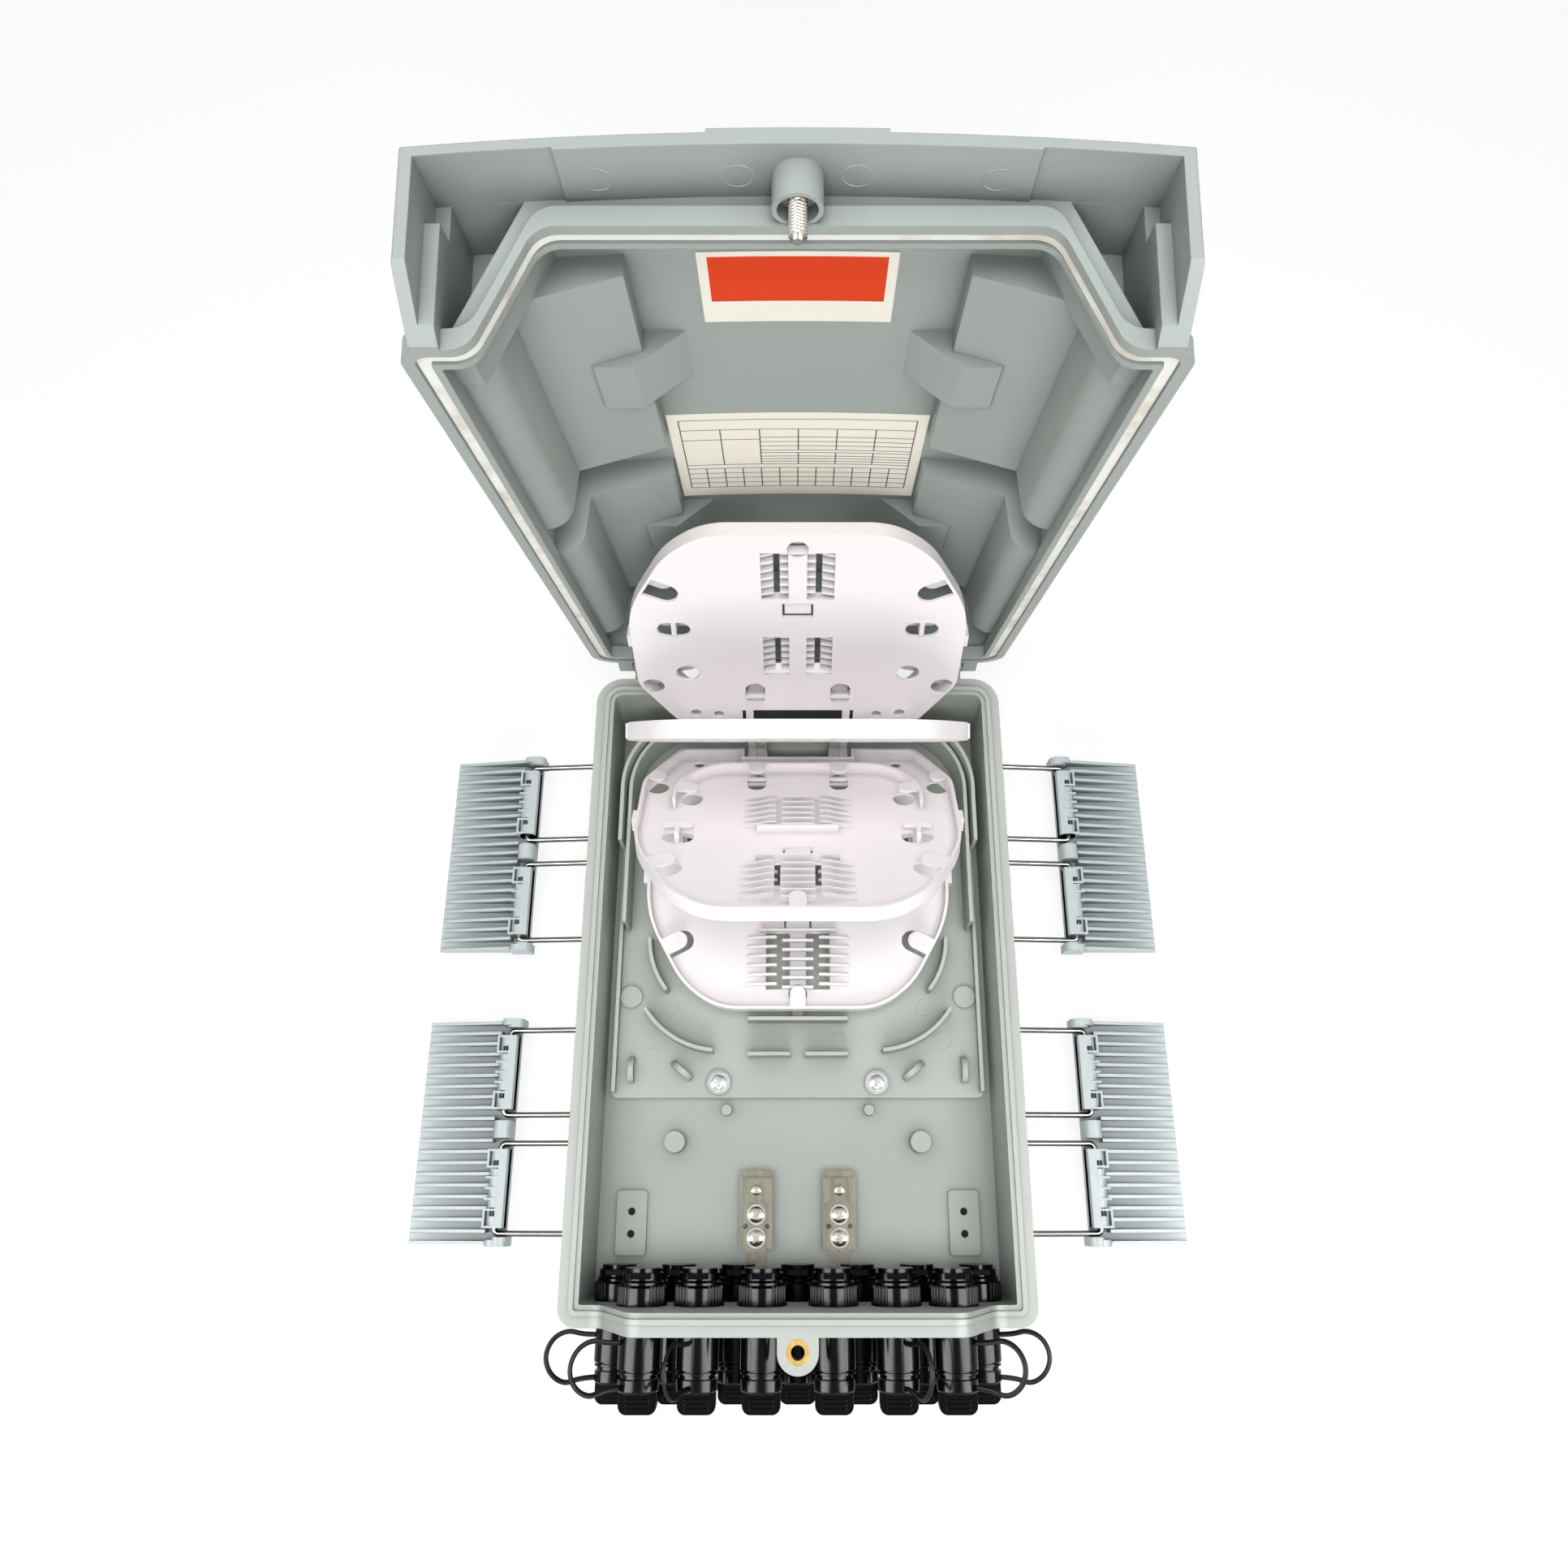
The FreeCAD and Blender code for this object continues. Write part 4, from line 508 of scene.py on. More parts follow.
# %% Card finishes
FIBRE_SCALE = 500.0
FIBRE_DEPTH = 0.08
FIBRE_LOW = 0.96
CARD_ROUGHNESS = 0.5
CARD_GLOSS = 0.2
PAPER = (0.95, 0.91, 0.80)
BAND_RED = (0.80, 0.05, 0.002)
INK = (0.06, 0.055, 0.05)
LINE = 0.5
BAND = (-29.2, 29.2, 289.5, 314.5)
LOG_EDGE = 49.5
LOG_SPLIT = -16.2
LOG_TABLES = [
    (-LOG_EDGE, LOG_EDGE, 136.9, 203.7, 1, 1),
    (-LOG_EDGE, LOG_EDGE, 194.8, 203.7, 1, 1),
    (-LOG_EDGE, LOG_SPLIT, 185.6, 194.8, 2, 1),
    (-LOG_EDGE, LOG_SPLIT, 161.0, 185.6, 2, 1),
    (LOG_SPLIT, LOG_EDGE, 187.3, 194.8, 4, 1),
    (LOG_SPLIT, LOG_EDGE, 174.9, 187.3, 4, 3),
    (LOG_SPLIT, LOG_EDGE, 168.9, 172.4, 4, 1),
    (LOG_SPLIT, LOG_EDGE, 161.0, 168.9, 4, 3),
    (-LOG_EDGE, LOG_EDGE, 136.9, 157.2, 12, 4),
]


def card_place(tree):
    """Millimetres across the lid, and up from its hinge, of the point that is shaded."""
    coords = tree.nodes.new("ShaderNodeTexCoord")
    parts = tree.nodes.new("ShaderNodeSeparateXYZ")
    tree.links.new(coords.outputs["Object"], parts.inputs[0])
    along = tree.nodes.new("ShaderNodeVectorMath")
    along.operation = "DOT_PRODUCT"
    up = Vector((0.0, -math.cos(LID_OPEN), math.sin(LID_OPEN)))
    along.inputs[1].default_value = up
    tree.links.new(coords.outputs["Object"], along.inputs[0])
    from_hinge = calc(tree, "SUBTRACT", along.outputs["Value"], up.dot(LID_HINGE))
    return calc(tree, "DIVIDE", parts.outputs["X"], MM), calc(tree, "DIVIDE", from_hinge, MM)


def tint(tree, color, print_color, share):
    """Lay one flat colour over another where the share is one."""
    mix = tree.nodes.new("ShaderNodeMix")
    mix.data_type = "RGBA"
    mix.inputs[7].default_value = (*print_color, 1.0)
    tree.links.new(share, mix.inputs[0])
    tree.links.new(color, mix.inputs[6])
    return mix.outputs[2]


def printed_card(name, bands, tables):
    material, nodes, links, shader = new_material(name)
    tree = material.node_tree
    across, up = card_place(tree)
    fibre = nodes.new("ShaderNodeTexNoise")
    fibre.inputs["Scale"].default_value = FIBRE_SCALE
    grain = calc(tree, "MULTIPLY_ADD", fibre.outputs["Fac"], FIBRE_DEPTH, FIBRE_LOW)
    sheet = nodes.new("ShaderNodeVectorMath")
    sheet.operation = "SCALE"
    sheet.inputs[0].default_value = PAPER
    links.new(grain, sheet.inputs["Scale"])
    color = sheet.outputs[0]
    for left, right, low, high in bands:
        beside = calc(tree, "COMPARE", across, (left + right) / 2, (right - left) / 2)
        within = calc(tree, "COMPARE", up, (low + high) / 2, (high - low) / 2)
        color = tint(tree, color, BAND_RED, calc(tree, "MULTIPLY", beside, within))
    for values in tables:
        table = nodes.new("ShaderNodeGroup")
        table.node_tree = RULED_TABLE
        links.new(across, table.inputs["Across"])
        links.new(up, table.inputs["Up"])
        for socket, value in zip(("Left", "Right", "Low", "High", "Columns", "Rows"), values):
            table.inputs[socket].default_value = value
        table.inputs["Line"].default_value = LINE
        color = tint(tree, color, INK, table.outputs["Ink"])
    links.new(color, shader.inputs["Base Color"])
    shader.inputs["Roughness"].default_value = CARD_ROUGHNESS
    shader.inputs["Specular IOR Level"].default_value = CARD_GLOSS
    return material


BAND_CARD = printed_card("band_card", [BAND], [])
LOG_CARD = printed_card("log_card", [], LOG_TABLES)
print("cards:", BAND_CARD.name, LOG_CARD.name)

# %% [markdown]
# ## Finishes on the pieces of the frame
# Every piece that comes with the frame names the material slot it is made of. One table from slot to finish
# dresses them all, so no piece is missed and like pieces match.

# %% Assign the finishes by material slot
FINISHES = {
    "shell_grey": SHELL_GREY,
    "lid_grey": LID_GREY,
    "latch_grey": LATCH_GREY,
    "tray_white": TRAY_WHITE,
    "gasket_white": GASKET_WHITE,
    "sheet_steel": SHEET_STEEL,
    "wire_steel": WIRE_STEEL,
    "nickel": NICKEL,
    "brass": BRASS,
    "black_plastic": BLACK_PLASTIC,
    "black_rubber": BLACK_RUBBER,
    "band_card": BAND_CARD,
    "log_card": LOG_CARD,
}
for entry in frame["record"]["subparts"]:
    item = frame["nodes"][entry["node"]]
    item.data.materials.clear()
    item.data.materials.append(FINISHES[entry["material_slot"]])

# %% [markdown]
# ## Cap straps
# Each cap hangs on a thin rubber strap that leaves the adapter's barrel, bows out and comes back to the
# cap. A strap is a fixed length of something limp, so it is one smooth NURBS line through its route. The
# route gives millimetres along the barrel and out from it, and each strap is turned to its own side.

# %% Route and sweep the straps
STRAP_LOOP = [
    (8, 0.15),
    (8, 6),
    (6, 13.5),
    (9.5, 21),
    (17.5, 24.5),
    (25.5, 21.5),
    (30, 14),
    (27.2, 6.5),
    (26.9, -0.4),
]
STRAP_TURNS = {1: 178, 7: 2, 8: 150, 13: 30, 9: 112, 12: 68}
STRAP_WIDTH = 2.5 * MM
STRAP_THICK = 1.6 * MM
STRAP_TWIST = math.radians(60)
BARREL_RADIUS = 10.3 * MM
COLLAR_Y = -166.5 * MM


def strap(count, number, turn):
    centre = middle("dust_cap_%02d" % number)
    way = Vector((math.cos(math.radians(turn)), 0.0, math.sin(math.radians(turn))))
    line = bpy.data.curves.new("strap_%d" % count, "CURVE")
    line.dimensions = "3D"
    spline = line.splines.new("NURBS")
    spline.points.add(len(STRAP_LOOP) - 1)
    for point, (along, out) in zip(spline.points, STRAP_LOOP):
        spot = Vector((centre.x, COLLAR_Y - along * MM, centre.z)) + way * (BARREL_RADIUS + out * MM)
        point.co = (*spot, 1.0)
        point.tilt = STRAP_TWIST
    spline.order_u = 3
    spline.use_endpoint_u = True
    spline.resolution_u = 8
    line.bevel_depth = STRAP_THICK / 2
    line.extrude = (STRAP_WIDTH - STRAP_THICK) / 2
    line.bevel_resolution = 3
    piece = bpy.data.objects.new("strap_%d" % count, line)
    bpy.context.scene.collection.objects.link(piece)
    line.materials.append(BLACK_RUBBER)
    seat(piece, "base", "black_rubber", "cap_tether_%d" % count)
    return piece


straps = []
for count, (number, turn) in enumerate(STRAP_TURNS.items(), start=1):
    straps.append(strap(count, number, turn))
print("straps:", len(straps))

# %% [markdown]
# ## Pan-head screws
# A pan head is a turned shape: shank, washer, a short wall and a domed top. The driver's cross is cut
# last, by two crossed blocks. One screw is shaped at the origin and copied to every place.

# %% Shape one screw of each size
TURN_STEPS = 40
PAN_DOME = [(1.0, 0.45), (0.92, 0.7), (0.7, 0.92), (0.35, 1.0)]
CROSS_WIDTH = 0.3
CROSS_LENGTH = 1.25
CROSS_DEPTH = 0.6


def pan_screw(name, head, rise, washer, washer_thick, shank, depth):
    """A pan-head screw; the dome and the cross are shares of its head's radius and rise."""
    top = washer_thick + rise
    profile = [
        (0.0, -depth),
        (shank, -depth),
        (shank, 0.0),
        (washer, 0.0),
        (washer, washer_thick),
        (head, washer_thick),
        *[(share * head, washer_thick + height * rise) for share, height in PAN_DOME],
        (0.0, top),
    ]
    screw = turned(name, profile, TURN_STEPS)
    slot = CROSS_WIDTH * head
    reach = CROSS_LENGTH * head
    cut_depth = CROSS_DEPTH * rise
    for size in ((reach, slot, 2 * cut_depth), (slot, reach, 2 * cut_depth)):
        carve(screw, bar("cross", size, (0.0, 0.0, top)))
    smooth(screw, 30)
    return screw


screw = pan_screw(
    "screw", head=4 * MM, rise=2.6 * MM, washer=5 * MM, washer_thick=0.8 * MM, shank=2 * MM, depth=5 * MM
)
small_screw = pan_screw(
    "small_screw",
    head=2.6 * MM,
    rise=1.8 * MM,
    washer=2.5 * MM,
    washer_thick=0.1 * MM,
    shank=1.5 * MM,
    depth=6.5 * MM,
)
print("screw faces:", len(screw.data.polygons), "and", len(small_screw.data.polygons))

# %% [markdown]
# ## Screws in their places
# Two screws hold the carrier, and each cable clamp has two large ones and a small one on its bridge. No two
# real screws stop at the same angle, so every copy is turned by its own amount.

# %% Set the screws
CARRIER_TWISTS = ((-1, 20), (1, 65))
CLAMP_TWIST = 37
SEAT_ON_CARRIER = 14.0 * MM
CARRIER_SCREW = (42.6 * MM, -53 * MM)
SEAT_ON_CLAMP = 15.5 * MM
SEAT_ON_BRIDGE = 20.5 * MM
CLAMP_X = 21.5 * MM
CLAMP_SCREWS_Y = (-119.4 * MM, -130.6 * MM)
BRIDGE_Y = -107.5 * MM

carrier_screws = []
clamp_screws = []
for side, twist in CARRIER_TWISTS:
    turn = (0.0, 0.0, math.radians(twist))
    spot = (side * CARRIER_SCREW[0], CARRIER_SCREW[1], SEAT_ON_CARRIER)
    carrier_screws.append(copy_to(screw, "carrier_screw", spot, turn))
    for step, y in enumerate(CLAMP_SCREWS_Y):
        turn = (0.0, 0.0, math.radians(twist + CLAMP_TWIST * step))
        spot = (side * CLAMP_X, y, SEAT_ON_CLAMP)
        clamp_screws.append(copy_to(screw, "clamp_screw", spot, turn))
    spot = (side * CLAMP_X, BRIDGE_Y, SEAT_ON_BRIDGE)
    clamp_screws.append(copy_to(small_screw, "bridge_screw", spot, turn))
discard(screw)
discard(small_screw)
print("screws:", len(carrier_screws), "on the carrier and", len(clamp_screws), "on the clamps")
for screws, name, finish in (
    (carrier_screws, "carrier_screws", ZINC),
    (clamp_screws, "clamp_screws", NICKEL),
):
    screw_set = join(screws, name + "_set")
    screw_set.data.materials.append(finish)
    seat(screw_set, "base", "nickel", name)

# %% [markdown]
# ## The lid's moulding
# The hood has a deep pocket at each corner, beside the sealing wall, and the boss for the screw is a cup. The
# lid's own mesh is copied, its loose triangles are merged, and the hollows are cut with the lid shut: first a
# thick wall is added on the inside, then the pocket is taken out of it.

# %% Corner pockets and screw cup
POCKET = [(99.8, 57.5), (101.5, 57.5), (101.5, 97.7), (80.3, 99.2)]
POCKET_WALL = [(96.7, 56.0), (107.0, 56.0), (107.0, 99.5), (76.7, 99.5)]
POCKET_Y = (-167.0, -142.5)
POCKET_WALL_Y = (-164.0, -138.5)
CUP_RADIUS = 6.0 * MM
CUP_DEPTH = 5.0 * MM
CUP_STEPS = 48
BOSS_SPOT = Vector((0.0, -0.175, 0.090))


def wedge(name, corners, ends, side):
    """A cube whose eight corners are set to four (x, z) corners at two ends, in millimetres."""
    clear_selection()
    bpy.ops.mesh.primitive_cube_add(size=2.0)
    piece = bpy.context.object
    piece.name = name
    ring = {(-1, -1): 0, (1, -1): 1, (1, 1): 2, (-1, 1): 3}
    for vertex in piece.data.vertices:
        x, z = corners[ring[round(vertex.co.x), round(vertex.co.z)]]
        y = ends[round(vertex.co.y) > 0]
        vertex.co = (side * x * MM, y * MM, z * MM)
    face_outwards(piece)
    swing_with_lid(piece)
    return piece


def lid_moulding():
    make_active(frame["nodes"]["lid_shell"])
    bpy.ops.object.duplicate(linked=False)
    lid = bpy.context.object
    lid.name = "lid_moulding"
    bpy.ops.mesh.customdata_custom_splitnormals_clear()
    edit_all(lid)
    bpy.ops.mesh.remove_doubles(threshold=MERGE_GAP)
    leave_edit()
    for side in (-1, 1):
        carve(lid, wedge("pocket_wall", POCKET_WALL, POCKET_WALL_Y, side), "UNION")
        carve(lid, wedge("pocket", POCKET, POCKET_Y, side))
    clear_selection()
    bpy.ops.mesh.primitive_cylinder_add(
        vertices=CUP_STEPS, radius=CUP_RADIUS, depth=2 * CUP_DEPTH, location=BOSS_SPOT
    )
    cup = bpy.context.object
    swing_with_lid(cup)
    carve(lid, cup)
    smooth(lid, 30)
    return lid


lid = lid_moulding()
seat(lid, "lid", "lid_grey", "lid_shell")
print("lid faces:", len(lid.data.polygons))

# %% [markdown]
# ## Lid screw
# The captive screw hangs from the lid's boss with its thread in view. A thread is one tooth's outline swept
# along a helix: the Screw modifier repeats it turn by turn. A plain core closes it, and the slotted head
# sits in the boss.

# %% Thread, core and head of the lid screw
LOCK_Y = -175 * MM
LOCK_TIP = 80 * MM
LOCK_HEAD = 98.05 * MM
LOCK_HEAD_RADIUS = 5.5 * MM
LOCK_HEAD_THICK = 4 * MM
THREAD_PITCH = 1.0 * MM
THREAD_TURNS = 16
THREAD_ROOT = 2.25 * MM
THREAD_CREST = 2.75 * MM
FLANK = 0.42
CREST_FLAT = 0.12
ROOT_FLAT = 0.04
HELIX_STEPS = 28
CORE_RADIUS = 1.02 * THREAD_ROOT
TIP_RADIUS = 0.75 * THREAD_ROOT
TIP_TAPER = 1.2 * MM
HEAD_BASE = LOCK_HEAD - LOCK_TIP
HEAD_TOP = HEAD_BASE + LOCK_HEAD_THICK
HEAD_EDGE = HEAD_BASE + 0.9 * LOCK_HEAD_THICK
HEAD_TOP_RADIUS = 0.93 * LOCK_HEAD_RADIUS
SLOT_SIZE = (1.6 * MM, 2.4 * LOCK_HEAD_RADIUS, 3.2 * MM)


def threaded_shank():
    shank = start_line("thread_master", (THREAD_ROOT, 0.0, 0.0))
    tooth = THREAD_CREST - THREAD_ROOT
    for out, share in ((tooth, FLANK), (0.0, CREST_FLAT), (-tooth, FLANK), (0.0, ROOT_FLAT)):
        extrude_by((out, 0.0, share * THREAD_PITCH))
    leave_edit()
    helix = shank.modifiers.new("helix", "SCREW")
    helix.screw_offset = THREAD_PITCH
    helix.iterations = THREAD_TURNS
    helix.steps = HELIX_STEPS
    helix.render_steps = HELIX_STEPS
    helix.use_merge_vertices = True
    helix.merge_threshold = MERGE_GAP
    make_active(shank)
    bpy.ops.object.modifier_apply(modifier=helix.name)
    return copy_to(shank, "thread", (0.0, LOCK_Y, LOCK_TIP + MM)), shank


thread, thread_master = threaded_shank()
discard(thread_master)
core = turned(
    "core",
    [
        (0.0, 0.0),
        (TIP_RADIUS, 0.0),
        (CORE_RADIUS, TIP_TAPER),
        (CORE_RADIUS, HEAD_BASE),
        (LOCK_HEAD_RADIUS, HEAD_BASE),
        (LOCK_HEAD_RADIUS, HEAD_EDGE),
        (HEAD_TOP_RADIUS, HEAD_TOP),
        (0.0, HEAD_TOP),
    ],
    TURN_STEPS,
)
carve(core, bar("slot", SLOT_SIZE, (0.0, 0.0, HEAD_TOP)))
core.location = (0.0, LOCK_Y, LOCK_TIP)
make_active(core)
bpy.ops.object.transform_apply(location=True, rotation=True, scale=True)
lid_screw = join([core, thread], "lid_screw")
swing_with_lid(lid_screw)
smooth(lid_screw, 30)
lid_screw.data.materials.append(NICKEL)
seat(lid_screw, "lock", "nickel", "lock_screw")
print("lid screw faces:", len(lid_screw.data.polygons))

# %% [markdown]
# ## Wire bails
# A bail is one wire, bent seven times: a stub in the box's lug, a crank, a leg, the bar in the lever, and the
# same back. Its line is drawn by extruding a point, its corners are rounded by bevelling the vertices, and
# the line then becomes a curve with a round section.

# %% Bend the bails
BAIL_PIVOT = (110.5 * MM, 42 * MM)
BAIL_DROOP = math.radians(5.5)
BAIL_REACH = 43 * MM
BAIL_CRANK = 6.5 * MM
BAIL_INNER = 7 * MM
BAIL_OUTER = 50 * MM
BAIL_STUB = 7 * MM
WIRE_RADIUS = 1.5 * MM
BEND = 2.6 * MM
BEND_STEPS = 5
LATCHES_Y = {"near": -78 * MM, "far": 70.5 * MM}


def bail_line(end):
    """Points of one bail, from stub to stub, towards one end of the lever."""
    inner, outer = end * BAIL_INNER, end * BAIL_OUTER
    return [
        (0.0, inner + end * BAIL_STUB, 0.0),
        (0.0, inner, 0.0),
        (0.0, inner, -BAIL_CRANK),
        (BAIL_REACH, inner, -BAIL_CRANK),
        (BAIL_REACH, outer, -BAIL_CRANK),
        (0.0, outer, -BAIL_CRANK),
        (0.0, outer, 0.0),
        (0.0, outer - end * BAIL_STUB, 0.0),
    ]


def bent_wire(name, points):
    wire = start_line(name, points[0])
    for start, end in zip(points, points[1:]):
        extrude_by(tuple(b - a for a, b in zip(start, end)))
    bpy.ops.mesh.select_all(action="SELECT")
    bpy.ops.mesh.bevel(offset=BEND, offset_type="OFFSET", segments=BEND_STEPS, affect="VERTICES")
    leave_edit()
    bpy.ops.object.convert(target="CURVE")
    wire.data.bevel_depth = WIRE_RADIUS
    wire.data.bevel_resolution = 3
    wire.data.use_fill_caps = True
    bpy.ops.object.convert(target="MESH")
    smooth(wire, 40)
    return wire


for latch, latch_y in LATCHES_Y.items():
    for side, sign in (("left", -1), ("right", 1)):
        wires = []
        for end in (-1, 1):
            wire = bent_wire("bail", bail_line(end))
            wire.scale = (sign, 1.0, 1.0)
            wire.rotation_euler = (0.0, sign * BAIL_DROOP, 0.0)
            wire.location = (sign * BAIL_PIVOT[0], latch_y, BAIL_PIVOT[1])
            bpy.ops.object.transform_apply(location=True, rotation=True, scale=True)
            if sign < 0:
                face_outwards(wire)
            wires.append(wire)
        bails = join(wires, "bails_%s_%s" % (side, latch))
        bails.data.materials.append(WIRE_STEEL)
        seat(bails, "bails_%s_%s" % (side, latch), "wire_steel", "latch_bails_%s_%s" % (side, latch))
print("bails:", 2 * len(LATCHES_Y), "pairs")

# %% [markdown]
# ## Lever rails
# Along its tube each lever has two rails: a flat bar with end walls, two window frames and a few short
# fins. One rail is built from blocks that are joined into one solid, then copied to both ends of each lever.
# Some copies are mirror images, so their faces are turned outwards again. Its sizes are millimetres from
# the lever's pivot.

# %% Build one rail and set the copies
RAIL_SPAN = (9.7, 47.3)
RAIL_TOP = 4.7
RAIL_LOW = -5.0
RAIL_BACK = -4.5
RAIL_FRONT = -0.4
FRAME_OUT = 5.6
FRAME_WALL = 1.1
WINDOW = 8.0
SHORT_FINS = 3
FIN_ROOT = 1.0
LEVER_SPOT = (
    BAIL_PIVOT[0] + BAIL_REACH * math.cos(BAIL_DROOP) - BAIL_CRANK * math.sin(BAIL_DROOP),
    BAIL_PIVOT[1] - BAIL_REACH * math.sin(BAIL_DROOP) - BAIL_CRANK * math.cos(BAIL_DROOP),
)


def rail_block(x0, x1, y0, y1):
    """A block of the rail between two places across the lever and two along it."""
    size = ((x1 - x0) * MM, (y1 - y0) * MM, (RAIL_TOP - RAIL_LOW) * MM)
    spot = ((x0 + x1) / 2 * MM, (y0 + y1) / 2 * MM, (RAIL_TOP + RAIL_LOW) / 2 * MM)
    return bar("rail_block", size, spot)


def lever_rail():
    low, high = RAIL_SPAN
    rail = rail_block(RAIL_BACK, RAIL_FRONT, low, high)
    walls = [low, low + WINDOW, high - WINDOW - FRAME_WALL, high - FRAME_WALL]
    gap = (walls[2] - walls[1]) / (SHORT_FINS + 1)
    fins = [walls[1] + gap * (step + 1) for step in range(SHORT_FINS)]
    for y in walls + fins:
        carve(rail, rail_block(RAIL_FRONT - FIN_ROOT, FRAME_OUT, y, y + FRAME_WALL), "UNION")
    for y in (walls[0], walls[2]):
        frame_front = rail_block(FRAME_OUT - FRAME_WALL, FRAME_OUT, y, y + WINDOW + FRAME_WALL)
        carve(rail, frame_front, "UNION")
    return rail


rail = lever_rail()
for latch, latch_y in LATCHES_Y.items():
    for side, sign in (("left", -1), ("right", 1)):
        rails = []
        for end in (-1, 1):
            copy = copy_to(rail, "rail", (0.0, 0.0, 0.0))
            copy.scale = (sign, end, 1.0)
            copy.location = (sign * LEVER_SPOT[0], latch_y, LEVER_SPOT[1])
            bpy.ops.object.transform_apply(location=True, rotation=True, scale=True)
            face_outwards(copy)
            rails.append(copy)
        rail_set = join(rails, "lever_rails_%s_%s" % (side, latch))
        rail_set.data.materials.append(LATCH_GREY)
        seat(rail_set, "lever_%s_%s" % (side, latch), "latch_grey")
print("rail faces:", len(rail.data.polygons))
discard(rail)

# %% [markdown]
# ## Carrier wings
# Beside the trays the carrier's edge rises to a tall wing that follows its rounded far corner. The wing is
# drawn in plan from one point, by an extrusion and a partial spin, then raised to a sheet and thickened. The
# spin turns the other way on the other side, so that both wings close in behind the trays.

# %% Raise the wings
WING_X = 98.9 * MM
WING_START = 75 * MM
WING_FOOT = 11.5 * MM
WING_TOP = 42 * MM
WING_CORNER = (55 * MM, 107 * MM)
WING_SWEEP = math.radians(60)
WING_THICK = 2 * MM
WING_STEPS = 14


def carrier_wing(side):
    wing = start_line("wing", (side * WING_X, WING_START, WING_FOOT))
    extrude_by((0.0, WING_CORNER[1] - WING_START, 0.0))
    corner = (side * WING_CORNER[0], WING_CORNER[1], WING_FOOT)
    bpy.ops.mesh.spin(steps=WING_STEPS, angle=-side * WING_SWEEP, center=corner, axis=(0, 0, 1))
    bpy.ops.mesh.select_all(action="SELECT")
    extrude_by((0.0, 0.0, WING_TOP - WING_FOOT))
    leave_edit()
    thicken = wing.modifiers.new("thicken", "SOLIDIFY")
    thicken.thickness = WING_THICK
    thicken.offset = 0.0
    bpy.ops.object.modifier_apply(modifier=thicken.name)
    edit_all(wing)
    bpy.ops.mesh.remove_doubles(threshold=MERGE_GAP)
    bpy.ops.mesh.normals_make_consistent(inside=False)
    leave_edit()
    return wing


wings = join([carrier_wing(side) for side in (-1, 1)], "carrier_wings")
smooth(wings, 30)
wings.data.materials.append(SHELL_GREY)
seat(wings, "base", "shell_grey")
print("wings: %.1f mm across" % (wings.dimensions.x / MM))

# %% [markdown]
# ## Pin marks
# The pins that push a moulding out of its tool leave faint rings. Each is a hair-thin torus, half sunk in the
# surface: four under the hood and six on the carrier plate.

# %% Rings under the hood and on the carrier
MARK_RADIUS = 4.5 * MM
MARK_LINE = 0.2 * MM
MARK_STEPS = (48, 8)
HOOD_MARKS_X = (-57.5, -17.2, 17.2, 57.5)
HOOD_MARKS_Y = -175 * MM
HOOD_MIDDLE = 101.2 * MM
CROWN_RADIUS = 1208.7 * MM
CARRIER_TOP = 12.5 * MM
CARRIER_MARKS = [(21.5, -31), (79.5, -31), (70, -13)]


def pin_mark(spot):
    clear_selection()
    bpy.ops.mesh.primitive_torus_add(
        major_radius=MARK_RADIUS,
        minor_radius=MARK_LINE,
        major_segments=MARK_STEPS[0],
        minor_segments=MARK_STEPS[1],
        location=spot,
    )
    ring = bpy.context.object
    bpy.ops.object.transform_apply(location=True, rotation=True, scale=True)
    return ring


hood_rings = []
for x in HOOD_MARKS_X:
    sag = (x * MM) ** 2 / (2 * CROWN_RADIUS)
    ring = pin_mark((x * MM, HOOD_MARKS_Y, HOOD_MIDDLE - sag))
    swing_with_lid(ring)
    hood_rings.append(ring)
carrier_rings = []
for x, y in CARRIER_MARKS:
    for side in (-1, 1):
        carrier_rings.append(pin_mark((side * x * MM, y * MM, CARRIER_TOP)))
for rings, name, body, slot in (
    (hood_rings, "hood_pin_marks", "lid", "lid_grey"),
    (carrier_rings, "carrier_pin_marks", "base", "shell_grey"),
):
    marks = join(rings, name)
    smooth(marks, 60)
    marks.data.materials.append(FINISHES[slot])
    seat(marks, body, slot)
print("pin marks:", len(HOOD_MARKS_X), "and", 2 * len(CARRIER_MARKS))

# %% [markdown]
# ## Studio
# A white table and two broad soft lamps, one above and one in front of the adapter end. Two upright strips at
# the sides light nothing and only show in shiny surfaces. The table shows as white to the camera and still
# takes a faint shadow: a share of its look is plain white, and the rest is lit. Under the box there is no
# such share, and the table's colour there is near-black, a painted shadow, so holes through its floor look
# dark.

# %% Floor and lamps
FOOTPRINT = (0.106, 0.16)
FLOOR_SIDE = 8.0
FLOOR_DROP = 0.5 * MM
FLOOR_ROUGHNESS = 0.8
FLOOR_GLOW = 0.72
GLOW_STRENGTH = 1.08
TABLE_TONE = 0.9
# Painted shadow: the table's near-black colour under the box.
PAINTED_SHADOW_TONE = 0.02


def seen_directly(tree):
    """One for rays that show the background itself: camera, mirror and glass rays."""
    path = tree.nodes.new("ShaderNodeLightPath").outputs
    mirrored = calc(tree, "MAXIMUM", path["Is Camera Ray"], path["Is Glossy Ray"])
    return calc(tree, "MAXIMUM", mirrored, path["Is Transmission Ray"])


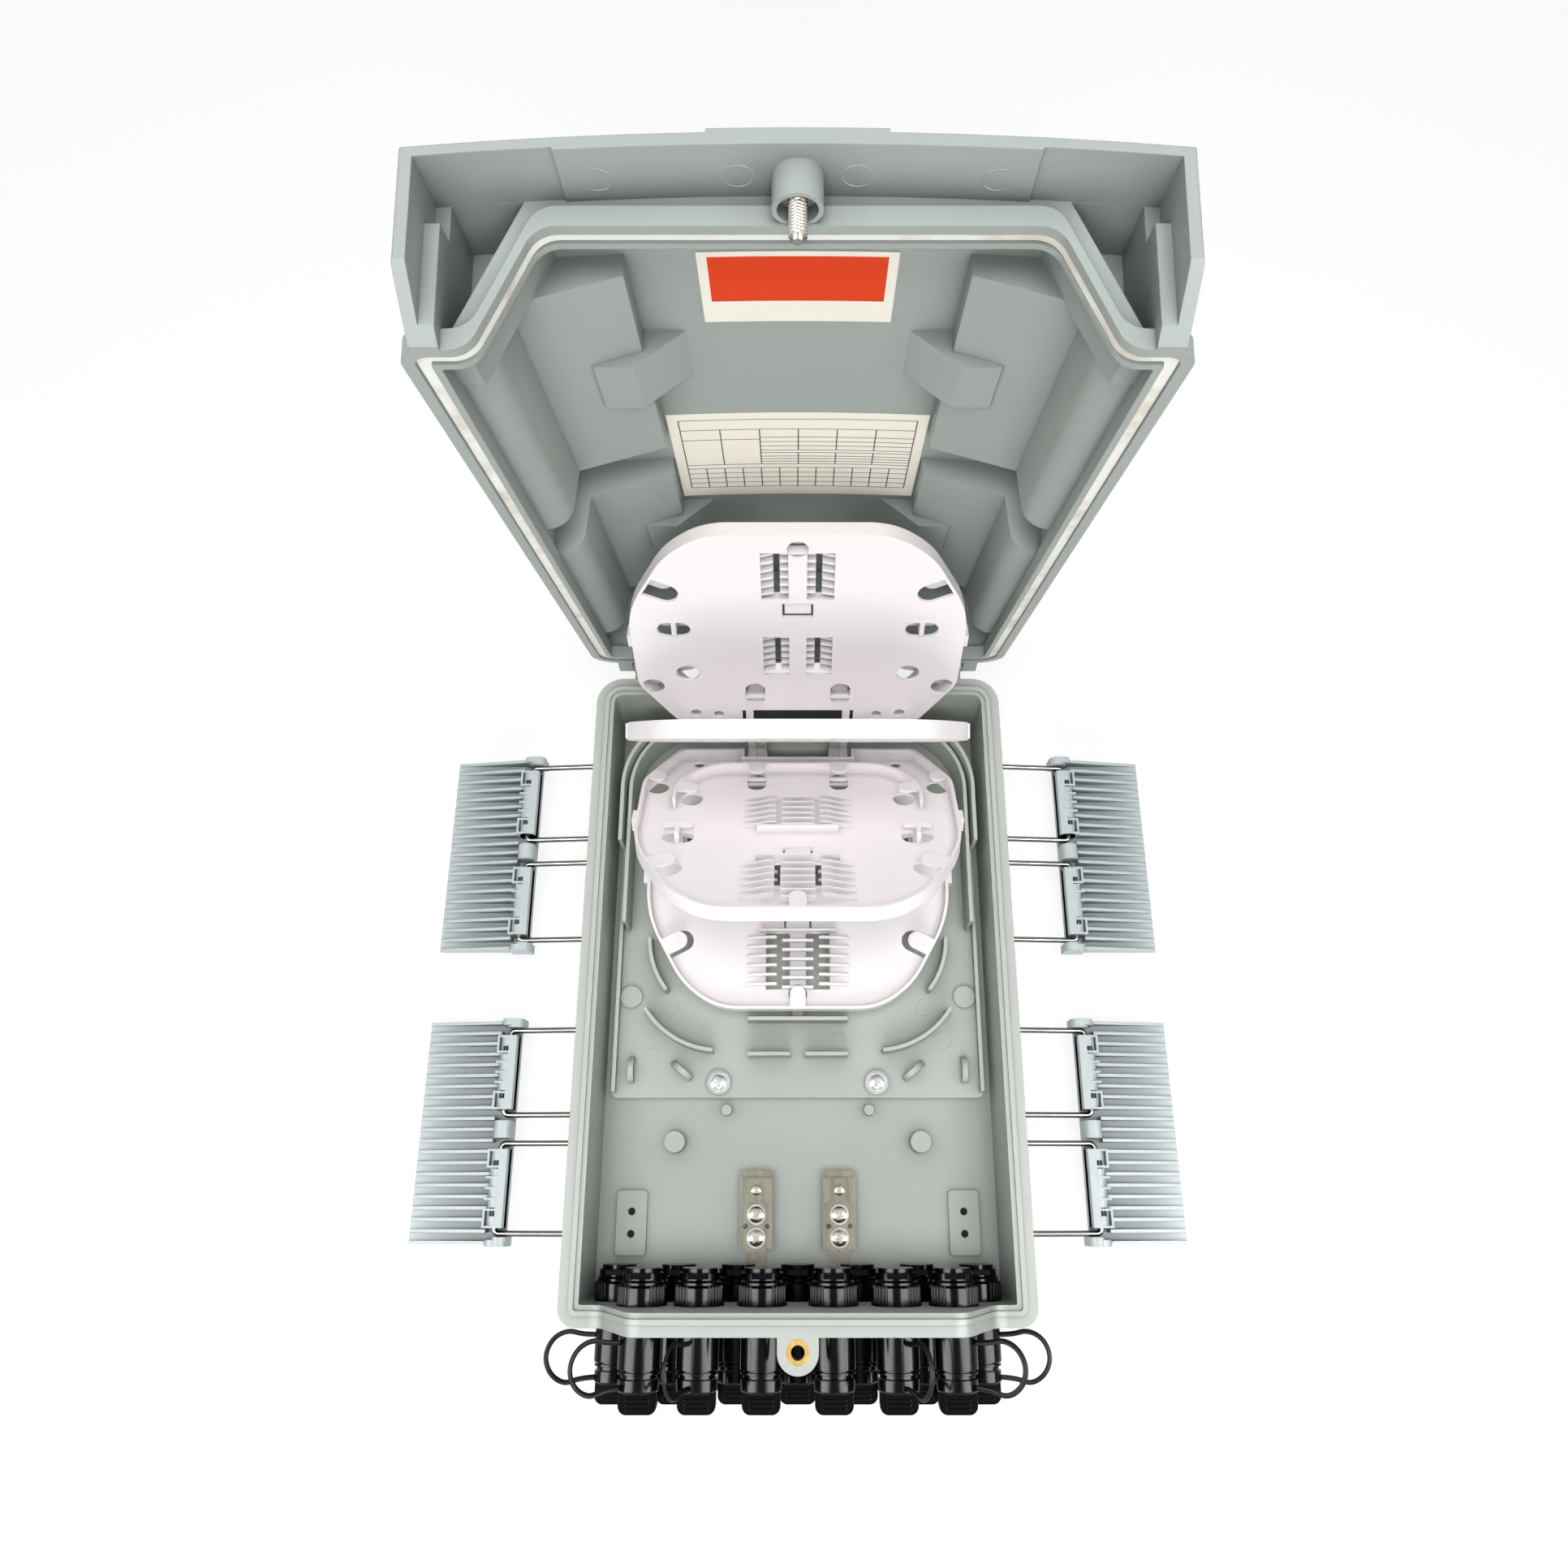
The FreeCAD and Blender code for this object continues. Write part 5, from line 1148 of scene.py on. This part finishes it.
def white_floor():
    clear_selection()
    bpy.ops.mesh.primitive_plane_add(size=FLOOR_SIDE, location=(0.0, 0.0, -FLOOR_DROP))
    floor = bpy.context.object
    floor.name = "table"
    material, nodes, links, shader = new_material("table_white")
    tree = material.node_tree
    shader.inputs["Roughness"].default_value = FLOOR_ROUGHNESS
    coords = nodes.new("ShaderNodeTexCoord")
    parts = nodes.new("ShaderNodeSeparateXYZ")
    links.new(coords.outputs["Object"], parts.inputs[0])
    beside = calc(tree, "GREATER_THAN", calc(tree, "ABSOLUTE", parts.outputs["X"]), FOOTPRINT[0])
    beyond = calc(tree, "GREATER_THAN", calc(tree, "ABSOLUTE", parts.outputs["Y"]), FOOTPRINT[1])
    clear = calc(tree, "MAXIMUM", beside, beyond)
    share = calc(tree, "MULTIPLY", clear, FLOOR_GLOW)
    # The table's colour is white beside the box and a near-black painted shadow under it.
    tone = calc(tree, "MULTIPLY_ADD", clear, TABLE_TONE - PAINTED_SHADOW_TONE, PAINTED_SHADOW_TONE)
    shade = nodes.new("ShaderNodeCombineColor")
    for channel in shade.inputs:
        links.new(tone, channel)
    links.new(shade.outputs["Color"], shader.inputs["Base Color"])
    glow = nodes.new("ShaderNodeEmission")
    glow.inputs["Strength"].default_value = GLOW_STRENGTH
    mix = nodes.new("ShaderNodeMixShader")
    links.new(calc(tree, "MULTIPLY", seen_directly(tree), share), mix.inputs["Fac"])
    links.new(shader.outputs["BSDF"], mix.inputs[1])
    links.new(glow.outputs["Emission"], mix.inputs[2])
    links.new(mix.outputs["Shader"], nodes["Material Output"].inputs["Surface"])
    floor.data.materials.append(material)


def softbox(name, spot, target, size, power, lights=True, mirrored=True):
    clear_selection()
    bpy.ops.object.light_add(type="AREA", location=spot)
    lamp = bpy.context.object
    lamp.name = name
    lamp.data.shape = "RECTANGLE"
    lamp.data.size, lamp.data.size_y = size
    lamp.data.energy = power
    lamp.visible_diffuse = lights
    lamp.visible_glossy = mirrored
    aim = Vector(target) - Vector(spot)
    lamp.rotation_euler = aim.to_track_quat("-Z", "Y").to_euler()


AIM = (0.0, 0.05, 0.1)
OVERHEAD_SPOT = (0.0, -0.2, 1.6)
FRONT_SPOT = (0.0, -1.6, 1.1)
STRIP_SPOT = (0.9, -0.3, 0.9)
OVERHEAD_SIZE = (0.8, 0.8)
FRONT_SIZE = (1.0, 1.0)
STRIP_SIZE = (0.3, 1.4)
BOX_POWER = 17.0
STRIP_POWER = 45.0

white_floor()
softbox("overhead_box", OVERHEAD_SPOT, AIM, OVERHEAD_SIZE, BOX_POWER, mirrored=False)
softbox("front_box", FRONT_SPOT, AIM, FRONT_SIZE, BOX_POWER)
for side, name in ((-1, "left_strip"), (1, "right_strip")):
    spot = (side * STRIP_SPOT[0], STRIP_SPOT[1], STRIP_SPOT[2])
    softbox(name, spot, AIM, STRIP_SIZE, STRIP_POWER, lights=False)
print("lamps:", len(bpy.data.lights))

# %% [markdown]
# ## White surroundings
# The background is pure white where the camera or a mirror sees it. As a source of light it is much dimmer,
# because full white from all sides would wash out every shadow. A Light Path node tells the two apart.

# %% White world
AMBIENT = 0.25


def studio_world():
    world = bpy.data.worlds.new("studio")
    bpy.context.scene.world = world
    world.use_nodes = True
    tree = world.node_tree
    white = tree.nodes["Background"]
    white.inputs["Color"].default_value = (1.0, 1.0, 1.0, 1.0)
    strength = calc(tree, "MULTIPLY_ADD", seen_directly(tree), 1.0 - AMBIENT, AMBIENT)
    tree.links.new(strength, white.inputs["Strength"])


studio_world()
bpy.context.scene.view_settings.view_transform = "Standard"
print("world:", bpy.context.scene.world.name)
